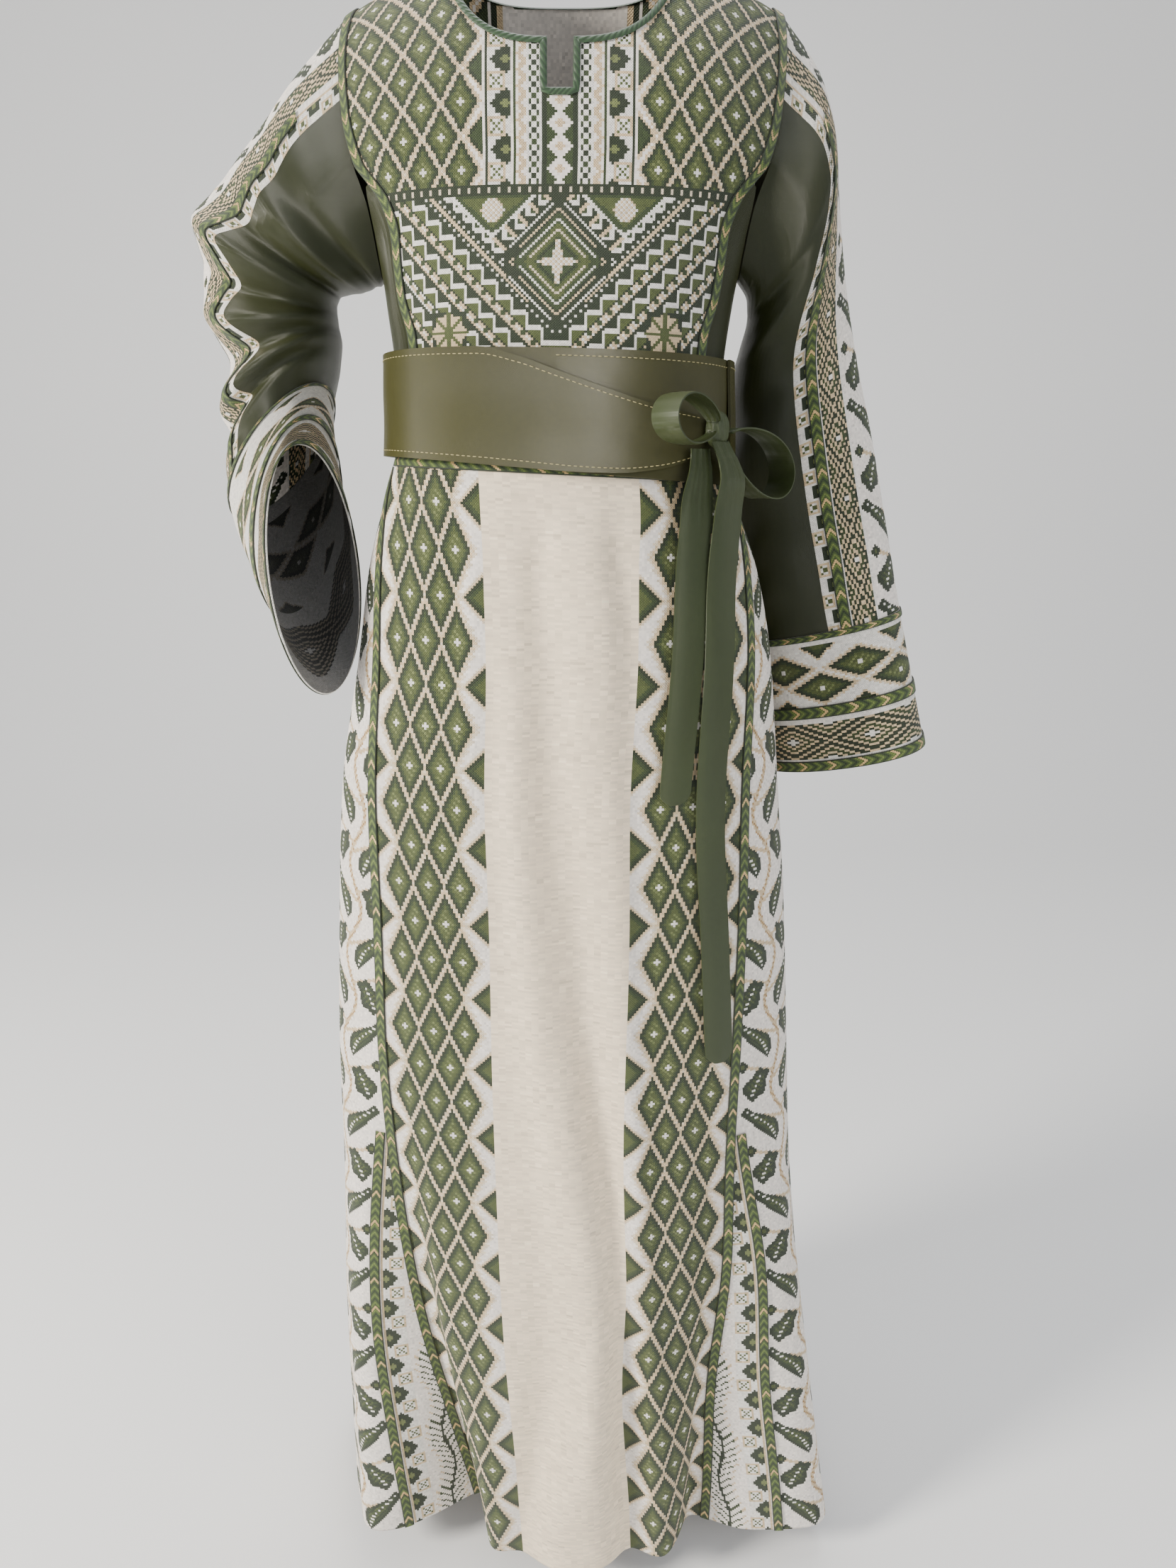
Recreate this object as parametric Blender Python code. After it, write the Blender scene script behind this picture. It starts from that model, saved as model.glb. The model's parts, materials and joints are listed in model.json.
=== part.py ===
"""An embroidered thobe, worn: a long cream dress with green cross-stitch panels and a satin sash.

Metres, +Z up, the front faces -Y. The origin is where the dress is carried, between the two
shoulder seams, level with the neck points. Every cloth piece is a thin wall inside one of four
shapes: the bodice, the skirt and the two sleeves. A shape gives a point for a station along it and
a distance round it, so a piece is cut from its shape by stations and distances, as cloth is.
"""
import math

import bmesh
import bpy
import numpy as np

for old in list(bpy.data.objects):
    bpy.data.objects.remove(old, do_unlink=True)

# Cloth, braid and satin
CLOTH = 0.0015
BRAID = 0.0012
BRAID_WIDTH = 0.0105
SEAM = 0.0003
LIFT = 0.0005

# Bodice
WAIST_Z = -0.400
CHEST_Z = -0.170
SHOULDER_TIP = 0.181
SHOULDER_DROP = 0.044
ARMPIT = 0.652
RIDGE = 1.9985
NECK_HALF = 0.083
NECK_DEPTH = 0.092
SLIT_HALF = 0.0095
SLIT_BOTTOM = -0.1286
BACK_NECK_DEPTH = 0.022
BINDING_WIDTH = 0.0055
BINDING_LIFT = 0.0009
NECK_SIDE = 3.2
NECK_BASE = 2.2

# Skirt
HEM_Z = -1.550
WAIST_TILT = -0.05
FRONT_HALF = 0.180
BRAID2_FROM_BACK = 0.106
FOLDS_FROM = -0.415

# Sleeves and cuffs
SLEEVE_TOP_HALF = 0.100
SLEEVE_BRAID_AT = 0.083
ARMHOLE_GAP = (0.0009, -0.0006)
ARMHOLE_REACH = 1.6
CUFF_GAP = 0.0004
CUFF_START = 9.0

# Sash
BELT = 0.0022
RIBBON_WIDTH = 0.028
RIBBON = 0.0012

SAMPLES = 480


class Table:
    """Rows of named columns, read between the rows along smooth curves that never overshoot."""

    def __init__(self, columns, rows):
        self.columns = columns
        self.values = np.array(sorted(rows), float)

    def at(self, column, where):
        knots = self.values[:, 0]
        heights = self.values[:, self.columns.index(column)]
        steps = np.diff(knots)
        slopes = np.diff(heights) / steps
        tangents = np.zeros(len(knots))
        tangents[0] = slopes[0]
        tangents[-1] = slopes[-1]
        for i in range(1, len(knots) - 1):
            if slopes[i - 1] * slopes[i] > 0:
                tangents[i] = 2 * slopes[i - 1] * slopes[i] / (slopes[i - 1] + slopes[i])
        where = np.clip(where, knots[0], knots[-1])
        i = np.clip(np.searchsorted(knots, where, "right") - 1, 0, len(steps) - 1)
        f = (where - knots[i]) / steps[i]
        return ((1 + 2 * f) * (1 - f) ** 2 * heights[i] + f * (1 - f) ** 2 * steps[i] * tangents[i]
                + f * f * (3 - 2 * f) * heights[i + 1] - f * f * (1 - f) * steps[i] * tangents[i + 1])


def ease(value, start, end):
    """0 at start, 1 at end, and level at both."""
    f = np.clip((value - start) / (end - start), 0, 1)
    return f * f * (3 - 2 * f)


def power(value, exponent):
    return np.sign(value) * np.abs(value) ** exponent


# A row for each section of the bodice, from waist to chest: half width, front and back depth from
# the middle, the middle's place, and how square the outline is.
TORSO = Table(
    ("z", "half", "front", "back", "middle_x", "middle_y", "square"), [
        (-0.400, 0.1410, 0.097, 0.088, -0.0060, -0.055, 2.15),
        (-0.360, 0.1400, 0.101, 0.087, -0.0062, -0.051, 2.15),
        (-0.320, 0.1425, 0.103, 0.090, -0.0064, -0.046, 2.20),
        (-0.280, 0.1480, 0.101, 0.095, -0.0060, -0.038, 2.25),
        (-0.250, 0.1530, 0.099, 0.099, -0.0052, -0.032, 2.30),
        (-0.225, 0.1600, 0.097, 0.101, -0.0045, -0.027, 2.35),
        (-0.200, 0.1720, 0.096, 0.101, -0.0038, -0.022, 2.40),
        (-0.170, 0.1920, 0.096, 0.098, -0.0030, -0.018, 2.40),
    ])

# Half widths of the bodice's embroidered panel, by station: 0 waist, 1 chest, 2 shoulder ridge.
PANEL_EDGE = Table(
    ("station", "braid", "armhole"), [
        (0.00, 0.116, 0.200),
        (0.40, 0.1215, 0.200),
        (0.55, 0.131, 0.200),
        (0.652, 0.1345, 0.1529),
        (0.76, 0.137, 0.1548),
        (0.87, 0.146, 0.1585),
        (0.93, 0.156, 0.1628),
        (1.00, 0.168, 0.1685),
        (1.20, 0.178, 0.1780),
        (1.50, 0.182, 0.1820),
        (2.00, 0.181, 0.1810),
    ])

# A row for each section of the skirt: the four sides of its outline.
SKIRT = Table(
    ("z", "left", "right", "front", "back", "square"), [
        (-0.400, -0.1470, 0.1350, -0.152, 0.033, 2.15),
        (-0.450, -0.1660, 0.1590, -0.156, 0.055, 2.20),
        (-0.500, -0.1820, 0.1760, -0.158, 0.074, 2.25),
        (-0.570, -0.1960, 0.1900, -0.160, 0.090, 2.30),
        (-0.700, -0.2216, 0.2045, -0.160, 0.098, 2.30),
        (-0.820, -0.2330, 0.2171, -0.160, 0.102, 2.30),
        (-1.000, -0.2450, 0.2300, -0.162, 0.108, 2.35),
        (-1.100, -0.2490, 0.2368, -0.164, 0.112, 2.40),
        (-1.300, -0.2620, 0.2600, -0.166, 0.122, 2.40),
        (-1.550, -0.2700, 0.2850, -0.169, 0.135, 2.40),
    ])

# A row for each fold of the skirt: the height and angle where it starts and ends, its half width
# in degrees, and how far it stands out at each end (in, where negative). Angles run from the front
# centre, positive to the wearer's left.
FOLDS = (
    ("z_top", "angle_top", "z_end", "angle_end", "width", "depth_top", "depth_end"), [
        (-0.93, -45, -1.56, -29, 9.5, 0.000, -0.080),
        (-0.90, -60, -1.56, -48, 10, 0.000, 0.022),
        (-0.98, -14, -1.56, -9, 9, 0.000, 0.006),
        (-0.93, 44, -1.56, 28, 8, 0.000, -0.036),
        (-0.95, 62, -1.56, 58, 12, 0.000, 0.042),
        (-1.15, 90, -1.56, 86, 9, 0.000, -0.018),
        (-0.95, -84, -1.56, -82, 9, 0.000, -0.020),
        (-0.60, 122, -1.56, 116, 10, 0.000, 0.024),
        (-0.80, 141, -1.56, 139, 8, 0.000, -0.034),
        (-0.55, 162, -1.56, 163, 9, 0.000, 0.020),
        (-0.80, -178, -1.56, -176, 8, 0.000, -0.030),
        (-0.55, -157, -1.56, -156, 9, 0.000, 0.022),
        (-0.80, -137, -1.56, -133, 8, 0.000, -0.036),
        (-0.60, -116, -1.56, -109, 9, 0.000, 0.022),
        (-0.40, -22, -1.00, -14, 5, 0.004, 0.000),
        (-0.40, -14, -0.95, -8, 4, -0.004, 0.000),
        (-0.40, 3, -1.05, 8, 5, 0.004, 0.000),
        (-0.40, 12, -0.90, 15, 4, -0.003, 0.000),
    ])

# Width of the skirt's side panel at each height.
SIDE_PANEL = Table(("z", "width"), [
    (-0.40, 0.045), (-0.70, 0.072), (-0.965, 0.106), (-1.25, 0.150), (-1.55, 0.190)])

# A row for each section of a sleeve, from the armhole (0) to the cuff's hem (10): the points on its
# outer and inner edge, half its depth from front to back, which way that depth turns, how square it
# is, and how far its front and back bow on down the sleeve.
SLEEVE_COLUMNS = ("station", "out_x", "out_y", "out_z", "in_x", "in_y", "in_z", "depth", "turn",
                  "square", "bow")
LEFT_SLEEVE = Table(SLEEVE_COLUMNS, [
    (0.0, 0.1810, 0.000, -0.044, 0.1530, -0.030, -0.250, 0.058, 0, 2.0, 0.015),
    (1.0, 0.2120, 0.000, -0.085, 0.1610, -0.022, -0.266, 0.062, 0, 2.0, 0.022),
    (2.0, 0.2290, 0.002, -0.135, 0.1600, -0.010, -0.286, 0.063, 0, 2.0, 0.018),
    (3.0, 0.2380, 0.004, -0.185, 0.1570, 0.002, -0.305, 0.062, 0, 2.0, 0.010),
    (4.0, 0.2500, 0.006, -0.250, 0.1530, 0.014, -0.330, 0.060, 0, 2.0, 0.004),
    (5.0, 0.2640, 0.006, -0.310, 0.1500, 0.024, -0.375, 0.058, 0, 2.0, 0.000),
    (6.0, 0.2820, 0.004, -0.375, 0.1490, 0.032, -0.425, 0.057, 0, 2.0, 0.000),
    (7.0, 0.2960, 0.000, -0.435, 0.1540, 0.038, -0.475, 0.058, 0, 2.05, 0.000),
    (8.0, 0.3070, -0.004, -0.485, 0.1620, 0.046, -0.525, 0.060, 0, 2.1, 0.000),
    (9.0, 0.3180, -0.008, -0.534, 0.1720, 0.052, -0.575, 0.062, 0, 2.1, 0.000),
    (10.0, 0.3500, -0.016, -0.664, 0.1960, 0.054, -0.708, 0.068, 0, 2.2, 0.000),
])
RIGHT_SLEEVE = Table(SLEEVE_COLUMNS, [
    (0.0, -0.1810, 0.000, -0.044, -0.1530, -0.030, -0.250, 0.058, 0, 2.0, 0.015),
    (1.0, -0.2220, 0.000, -0.083, -0.1630, -0.024, -0.2545, 0.062, 0, 2.0, 0.022),
    (2.0, -0.2600, 0.004, -0.124, -0.1780, -0.017, -0.2560, 0.065, 0, 2.0, 0.018),
    (3.0, -0.2950, 0.012, -0.158, -0.1920, -0.012, -0.2570, 0.067, 0, 2.0, 0.010),
    (4.0, -0.3270, 0.022, -0.190, -0.2030, -0.010, -0.2600, 0.068, 2, 2.0, 0.004),
    (5.0, -0.3340, 0.032, -0.230, -0.2090, -0.010, -0.2680, 0.067, 4, 2.0, 0.000),
    (6.0, -0.3260, 0.036, -0.275, -0.2090, -0.014, -0.2790, 0.065, 7, 2.0, 0.000),
    (7.0, -0.3180, 0.036, -0.325, -0.2080, -0.017, -0.2930, 0.063, 11, 2.0, 0.000),
    (8.0, -0.3130, 0.033, -0.382, -0.2130, -0.020, -0.3100, 0.061, 16, 2.0, 0.000),
    (9.0, -0.3120, 0.024, -0.448, -0.2240, -0.024, -0.3330, 0.058, 22, 2.0, 0.000),
    (10.0, -0.2150, -0.100, -0.602, -0.2330, -0.066, -0.3870, 0.056, 30, 2.0, 0.000),
])

# A row for each crease that crosses a sleeve: its station, half width in stations, depth, the side
# it is deepest on (0 outer edge, 90 front, 180 inner edge) and how far round it reaches.
CREASE_COLUMNS = ("station", "width", "depth", "side", "reach")
LEFT_CREASES = [
    (2.2, 0.40, -0.004, 150, 60),
    (3.4, 0.45, 0.003, 120, 60),
    (4.6, 0.40, -0.004, 160, 70),
    (5.4, 0.35, 0.003, -120, 70),
    (6.6, 0.45, -0.003, 140, 60),
]
RIGHT_CREASES = [
    (1.6, 0.35, -0.004, 130, 55),
    (2.6, 0.35, 0.003, 120, 55),
    (3.7, 0.34, -0.005, 120, 60),
    (4.5, 0.32, 0.005, 60, 60),
    (5.2, 0.32, -0.006, 80, 65),
    (5.9, 0.32, 0.006, 70, 65),
    (6.6, 0.32, -0.007, 70, 65),
    (7.3, 0.30, 0.006, 65, 65),
    (7.9, 0.30, -0.006, 75, 65),
    (8.5, 0.30, 0.003, 50, 50),
]


def outline(angle, left, right, front, back, square):
    """A level outline from its four sides: x and y at each angle from the front centre."""
    middle_y = front + 0.5 * (back - front)
    x = (left + right) / 2 + (right - left) / 2 * power(np.sin(angle), 2 / square)
    lean = power(np.cos(angle), 2 / square)
    y = np.where(lean > 0, middle_y - (middle_y - front) * lean, middle_y - (back - middle_y) * lean)
    return x, y


def around(angle, centre):
    """The difference of two angles in degrees, the short way round."""
    return (np.degrees(angle) - centre + 180) % 360 - 180


def waist_tilt(x, fade):
    return WAIST_TILT * (x + 0.006) * fade


def skirt_shape(z, angle):
    side = [SKIRT.at(name, z) for name in SKIRT.columns[1:]]
    x, y = outline(angle, *side)
    middle_x = (side[0] + side[1]) / 2
    middle_y = (side[2] + side[3]) / 2
    away = np.stack([x - middle_x, (y - middle_y) * 1.6], -1)
    away /= np.linalg.norm(away, axis=-1, keepdims=True)
    for z_top, angle_top, z_end, angle_end, width, depth_top, depth_end in FOLDS[1]:
        f = np.clip((z - z_top) / (z_end - z_top), 0, 1)
        if z < z_end or z > z_top:
            f = 0 if z > z_top else 1
        depth = depth_top * (1 - ease(f, 0, 1)) + depth_end * f ** 1.4
        depth *= ease(z, FOLDS_FROM, FOLDS_FROM - 0.07)
        bump = depth * np.exp(-(around(angle, angle_top + (angle_end - angle_top) * f) / width) ** 2)
        x = x + away[:, 0] * bump
        y = y + away[:, 1] * bump
    tilt = waist_tilt(x, ease(z, -0.60, -0.41))
    return np.stack([x, y, z + tilt], -1)


def ridge_height(x):
    return -SHOULDER_DROP * np.maximum(np.abs(x) - NECK_HALF, 0) / (SHOULDER_TIP - NECK_HALF)


def bodice_shape(station, angle):
    level = min(station, 1.0)
    z = WAIST_Z + (CHEST_Z - WAIST_Z) * level
    half, front, back, middle_x, middle_y, square = [TORSO.at(name, z) for name in TORSO.columns[1:]]
    out_x = half * power(np.sin(angle), 2 / square)
    lean = power(np.cos(angle), 2 / square)
    out_y = -np.where(lean > 0, front, back) * lean
    if station <= 1:
        x = middle_x + out_x
        height = z + waist_tilt(x, 1 - ease(level, 0.0, 0.55))
        return np.stack([x, middle_y + out_y, height + 0 * x], -1)
    rise = (station - 1) * math.pi / 2
    x = middle_x * math.cos(rise) + out_x
    y = (middle_y + out_y) * math.cos(rise)
    height = z + (ridge_height(x) - z) * math.sin(rise)
    return np.stack([x, y, height], -1)


def bodice_angle(station, half_width, behind):
    """The angle of the bodice's point that lies half_width from its middle."""
    z = WAIST_Z + (CHEST_Z - WAIST_Z) * min(station, 1.0)
    reach = min(half_width / TORSO.at("half", z), 1.0)
    angle = math.asin(reach ** (TORSO.at("square", z) / 2))
    return math.pi - angle if behind else angle


def armhole(side, angle):
    """The armhole, from the shoulder tip (0) round the front to the armpit (180 degrees)."""
    points = []
    pit_z = WAIST_Z + (CHEST_Z - WAIST_Z) * ARMPIT
    for turn in angle:
        z = -SHOULDER_DROP + (pit_z + SHOULDER_DROP) * (1 - math.cos(turn)) / 2
        station = (z - WAIST_Z) / (CHEST_Z - WAIST_Z)
        if z > CHEST_Z:
            climb = (z - CHEST_Z) / (-SHOULDER_DROP - CHEST_Z)
            station = 1 + math.asin(min(climb, 1)) / (math.pi / 2)
        half_width = float(PANEL_EDGE.at("armhole", station))
        place = bodice_angle(station, half_width, math.sin(turn) < 0)
        points.append(bodice_shape(station, np.array([side * place]))[0])
    return np.array(points) + np.array([side * ARMHOLE_GAP[0], 0, ARMHOLE_GAP[1]])


def sleeve_shape(table, side, creases):
    """A sleeve's shape: station along it, and an angle round it from the outer edge to the front."""
    def ring(station, angle):
        row = dict(zip(table.columns[1:], [table.at(name, station) for name in table.columns[1:]]))
        outer = np.array([row["out_x"], row["out_y"], row["out_z"]])
        inner = np.array([row["in_x"], row["in_y"], row["in_z"]])
        turn = math.radians(row["turn"])
        forward = np.array([side * math.sin(turn), -math.cos(turn), 0])
        along = power(np.cos(angle), 2 / row["square"])[:, None]
        across = power(np.sin(angle), 2 / row["square"])[:, None]
        points = (outer + inner) / 2 + (outer - inner) / 2 * along + forward * row["depth"] * across
        ahead = np.cross(outer - inner, forward)
        points = points + side * ahead / np.linalg.norm(ahead) * row["bow"] * across ** 2
        return points, (outer + inner) / 2

    def shape(station, angle):
        station = max(station, 0.0)
        points, middle = ring(station, angle)
        start = max(0.0, 1 - station / ARMHOLE_REACH)
        if start > 0:
            points = points + (armhole(side, angle) - ring(0.0, angle)[0]) * start
        away = points - middle
        away /= np.linalg.norm(away, axis=-1, keepdims=True)
        for at, width, depth, where, reach in creases:
            swing = at + 0.35 * np.sin(angle + at)
            bump = depth * np.exp(-((station - swing) / width) ** 2 - (around(angle, where) / reach) ** 2)
            points = points + away * bump[:, None]
        return points
    return shape


class Shape:
    """Gives points by station and distance round, measured from angle 0, and moved out."""

    def __init__(self, shape, step):
        self.shape = shape
        self.step = step
        self.angles = np.linspace(-math.pi, math.pi, SAMPLES + 1)
        self.rows = {}

    def row(self, station):
        key = round(float(station), 7)
        if key not in self.rows:
            ring = self.shape(station, self.angles)
            ring[-1] = ring[0]
            ahead = self.shape(station + self.step, self.angles)
            behind = self.shape(station - self.step, self.angles)
            along = ahead - behind
            round_it = np.roll(ring[:-1], -1, 0) - np.roll(ring[:-1], 1, 0)
            round_it = np.vstack([round_it, round_it[:1]])
            normal = np.cross(along, round_it)
            normal /= np.linalg.norm(normal, axis=-1, keepdims=True)
            if np.sum(normal * (ring - ring.mean(0))) < 0:
                normal = -normal
            lengths = np.linalg.norm(np.diff(ring, axis=0), axis=-1)
            arc = np.concatenate([[0], np.cumsum(lengths)])
            self.rows[key] = (arc - arc[SAMPLES // 2], ring, normal)
        return self.rows[key]

    def girth(self, station):
        arc = self.row(station)[0]
        return arc[-1] - arc[0]

    def distance(self, station, angle):
        """How far round the point at an angle lies."""
        return float(np.interp(angle, self.angles, self.row(station)[0]))

    def place(self, station, distances, out=0.0):
        arc, ring, normal = self.row(station)
        girth = arc[-1] - arc[0]
        wrapped = (np.asarray(distances, float) - arc[0]) % girth + arc[0]
        points = np.stack([np.interp(wrapped, arc, ring[:, k]) for k in range(3)], -1)
        lifts = np.stack([np.interp(wrapped, arc, normal[:, k]) for k in range(3)], -1)
        return points + lifts * np.asarray(out)[..., None]


BODICE = Shape(bodice_shape, 0.001)
SKIRT_SHAPE = Shape(skirt_shape, -0.001)
SLEEVES = {
    "l": Shape(sleeve_shape(LEFT_SLEEVE, 1, LEFT_CREASES), 0.01),
    "r": Shape(sleeve_shape(RIGHT_SLEEVE, -1, RIGHT_CREASES), 0.01),
}

# Colour, roughness and sheen of each material
MATERIALS = {
    "cream_cloth": ((0.80, 0.74, 0.66), 0.75),
    "green_embroidery": ((0.16, 0.19, 0.08), 0.80),
    "green_satin": ((0.055, 0.060, 0.018), 0.35),
    "braid": ((0.10, 0.14, 0.04), 0.60),
    "binding": ((0.03, 0.08, 0.03), 0.55),
}


def material(name):
    made = bpy.data.materials.get(name)
    if made is None:
        colour, roughness = MATERIALS[name]
        made = bpy.data.materials.new(name)
        made.use_nodes = True
        shader = made.node_tree.nodes["Principled BSDF"]
        shader.inputs["Base Color"].default_value = (*colour, 1)
        shader.inputs["Roughness"].default_value = roughness
        shader.inputs["Metallic"].default_value = 0.0
    return made


def wall(name, outside, inside, finish, closed=False, missing=()):
    """One closed solid between two grids of points, with walls along every free edge. A closed grid
    joins its last column to its first; missing names the cells that are cut out."""
    outside = np.asarray(outside)
    inside = np.asarray(inside)
    rows, columns = outside.shape[:2]
    last = columns if closed else columns - 1
    cells = [(i, j, (j + 1) % columns) for i in range(rows - 1) for j in range(last)
             if (i, j) not in missing]
    loops = []
    for i, j, k in cells:
        a, b, c, d = (i, j), (i + 1, j), (i + 1, k), (i, k)
        if np.linalg.norm(outside[a] - outside[c]) <= np.linalg.norm(outside[b] - outside[d]):
            loops += [(a, b, c), (a, c, d)]
        else:
            loops += [(b, c, d), (b, d, a)]
    mesh = bmesh.new()
    faces = {}
    for layer, grid in (("out", outside), ("in", inside)):
        for corner in sorted({corner for loop in loops for corner in loop}):
            faces[layer, corner] = mesh.verts.new(grid[corner])
    edges = set()
    for loop in loops:
        mesh.faces.new([faces["out", corner] for corner in loop])
        mesh.faces.new([faces["in", corner] for corner in reversed(loop)])
        edges.update(zip(loop, loop[1:] + loop[:1]))
    for start, end in sorted(edges):
        if (end, start) not in edges:
            mesh.faces.new([faces["out", end], faces["out", start], faces["in", start], faces["in", end]])
    return finish_piece(name, mesh, finish)


def finish_piece(name, mesh, finish):
    bmesh.ops.triangulate(mesh, faces=mesh.faces[:], quad_method="SHORT_EDGE")
    bmesh.ops.recalc_face_normals(mesh, faces=mesh.faces[:])
    if mesh.calc_volume(signed=True) < 0:
        bmesh.ops.reverse_faces(mesh, faces=mesh.faces[:])
    data = bpy.data.meshes.new(name)
    mesh.to_mesh(data)
    mesh.free()
    data.shade_smooth()
    data.set_sharp_from_angle(angle=math.radians(40))
    data.materials.append(material(finish))
    piece = bpy.data.objects.new(name, data)
    bpy.context.scene.collection.objects.link(piece)
    return piece


def cut(name, shape, stations, distances, finish, outer=0.0, thick=CLOTH, closed=False, short=0.0):
    """A wall cut from a shape. distances(station) gives the places of its columns; outer and thick
    are how far its outer face stands out, and the wall's thickness; short is how far it stops before
    its last station."""
    outside = [shape.place(v, distances(v), outer) for v in stations]
    inside = [shape.place(v, distances(v), outer - thick) for v in stations]
    for face in (outside, inside):
        back = face[-2] - face[-1]
        face[-1] = face[-1] + back / np.linalg.norm(back, axis=-1, keepdims=True) * short
    return wall(name, outside, inside, finish, closed)


def spread(start, end, spacing):
    """Even places from start to end, about as far apart as spacing."""
    count = max(2, int(round(abs(end - start) / spacing)) + 1)
    return np.linspace(start, end, count)


# Skirt

SKIRT_ROWS = np.concatenate([
    [WAIST_Z - SEAM, -0.402, -0.4125, -0.435, -0.465, -0.50, -0.55, -0.61],
    np.linspace(-0.69, HEM_Z, 10)])
WAIST_BRAID_ROWS = SKIRT_ROWS[1:3]


def side_seams(z):
    """Distances of the two seams of the side panel, from the front centre."""
    return FRONT_HALF, FRONT_HALF + float(SIDE_PANEL.at("width", z))


def front_columns(z):
    half = FRONT_HALF - SEAM / 2
    inner = half - BRAID_WIDTH / 2
    return np.concatenate([[-half], np.linspace(-inner, inner, 13), [half]])


def side_columns(side):
    def columns(z):
        start, end = side_seams(z)
        start += SEAM / 2
        end -= SEAM / 2
        edge = start + BRAID_WIDTH / 2
        return side * np.concatenate([[start], np.linspace(edge, end, 8)])
    return columns


def back_columns(z):
    edge = side_seams(z)[1] + SEAM / 2
    return np.linspace(edge, SKIRT_SHAPE.girth(z) - edge, 25)


def build_skirt():
    cut("skirt_front", SKIRT_SHAPE, SKIRT_ROWS, front_columns, "green_embroidery")
    cut("skirt_side_l", SKIRT_SHAPE, SKIRT_ROWS, side_columns(1), "green_embroidery")
    cut("skirt_side_r", SKIRT_SHAPE, SKIRT_ROWS, side_columns(-1), "green_embroidery")
    cut("skirt_back", SKIRT_SHAPE, SKIRT_ROWS, back_columns, "green_embroidery")
    for letter, side in (("l", 1), ("r", -1)):
        rows = np.concatenate([[WAIST_BRAID_ROWS[1] - 2 * SEAM], SKIRT_ROWS[3:]])
        half = BRAID_WIDTH / 2

        def seam_braid(z):
            return side * np.array([FRONT_HALF - half, FRONT_HALF, FRONT_HALF + half])

        cut("skirt_braid_f" + letter, SKIRT_SHAPE, rows, seam_braid, "braid", LIFT + BRAID, BRAID)

        def inner_braid(z):
            middle = side_seams(z)[1] - BRAID2_FROM_BACK
            return side * np.array([middle - half, middle, middle + half])

        lower = [z for z in SKIRT_ROWS
                 if side_seams(z)[1] - BRAID2_FROM_BACK > FRONT_HALF + 1.1 * BRAID_WIDTH]
        cut("skirt_braid_b" + letter, SKIRT_SHAPE, lower, inner_braid, "braid", LIFT + BRAID, BRAID)

    def round_waist(z):
        return np.linspace(0, SKIRT_SHAPE.girth(z), 49)[:-1]

    cut("waist_braid", SKIRT_SHAPE, WAIST_BRAID_ROWS, round_waist, "braid", LIFT + BRAID, BRAID,
        closed=True)


# Bodice

BODICE_ROWS = [0.0, 0.2, 0.4, 0.55, ARMPIT, 0.76, 0.87, 0.93, 1.0]


def neck_half(behind):
    """Half of the neck's cut edge, from the middle to the shoulder: places and heights. It falls
    steeply beside the shoulder, so its points there are set by their height."""
    depth = BACK_NECK_DEPTH if behind else NECK_DEPTH
    across = (SLIT_HALF, 0.040, 0.065, 0.0775) if behind else (SLIT_HALF, 0.032, 0.053, 0.067, 0.0765)
    down = (0.15, 0.02) if behind else (0.25, 0.12, 0.04, 0.008)
    middle = [(x, -depth * (1 - (x / NECK_HALF) ** NECK_SIDE) ** (1 / NECK_BASE)) for x in across]
    side = [(NECK_HALF * (1 - drop ** NECK_BASE) ** (1 / NECK_SIDE), -depth * drop) for drop in down]
    return middle + side


def station_at(x, z):
    """The bodice's station at a place and height above the chest."""
    climb = (z - CHEST_Z) / (float(ridge_height(x)) - CHEST_Z)
    return min(1 + math.asin(min(max(climb, 0), 1)) / (math.pi / 2), RIDGE)


def edge_distance(station, column, behind):
    """Distance round the bodice, from the front centre, of an edge at a station."""
    angle = bodice_angle(station, float(PANEL_EDGE.at(column, station)), behind)
    return BODICE.distance(station, angle)


def panel_half(station, behind):
    """Distance along the cloth from the panel's own centre to its edge."""
    edge = edge_distance(station, "braid", behind)
    return BODICE.distance(station, math.pi) - edge if behind else edge


def panel_place(station, where, behind, out):
    """A point of the front or back panel; where is the distance from its centre, + to the left arm."""
    distance = BODICE.distance(station, math.pi) - where if behind else where
    return BODICE.place(station, distance, out)


def front_shares():
    """The bodice's rows above the chest, as shares of each column's way up. One meets the slit's foot."""
    slit_top = station_at(*neck_half(False)[0])
    slit_foot = (station_at(SLIT_HALF, SLIT_BOTTOM) - 1) / (slit_top - 1)
    return sorted([0.15, 0.32, 0.5, 0.72, 0.88, 1.0, slit_foot]), slit_foot


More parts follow.
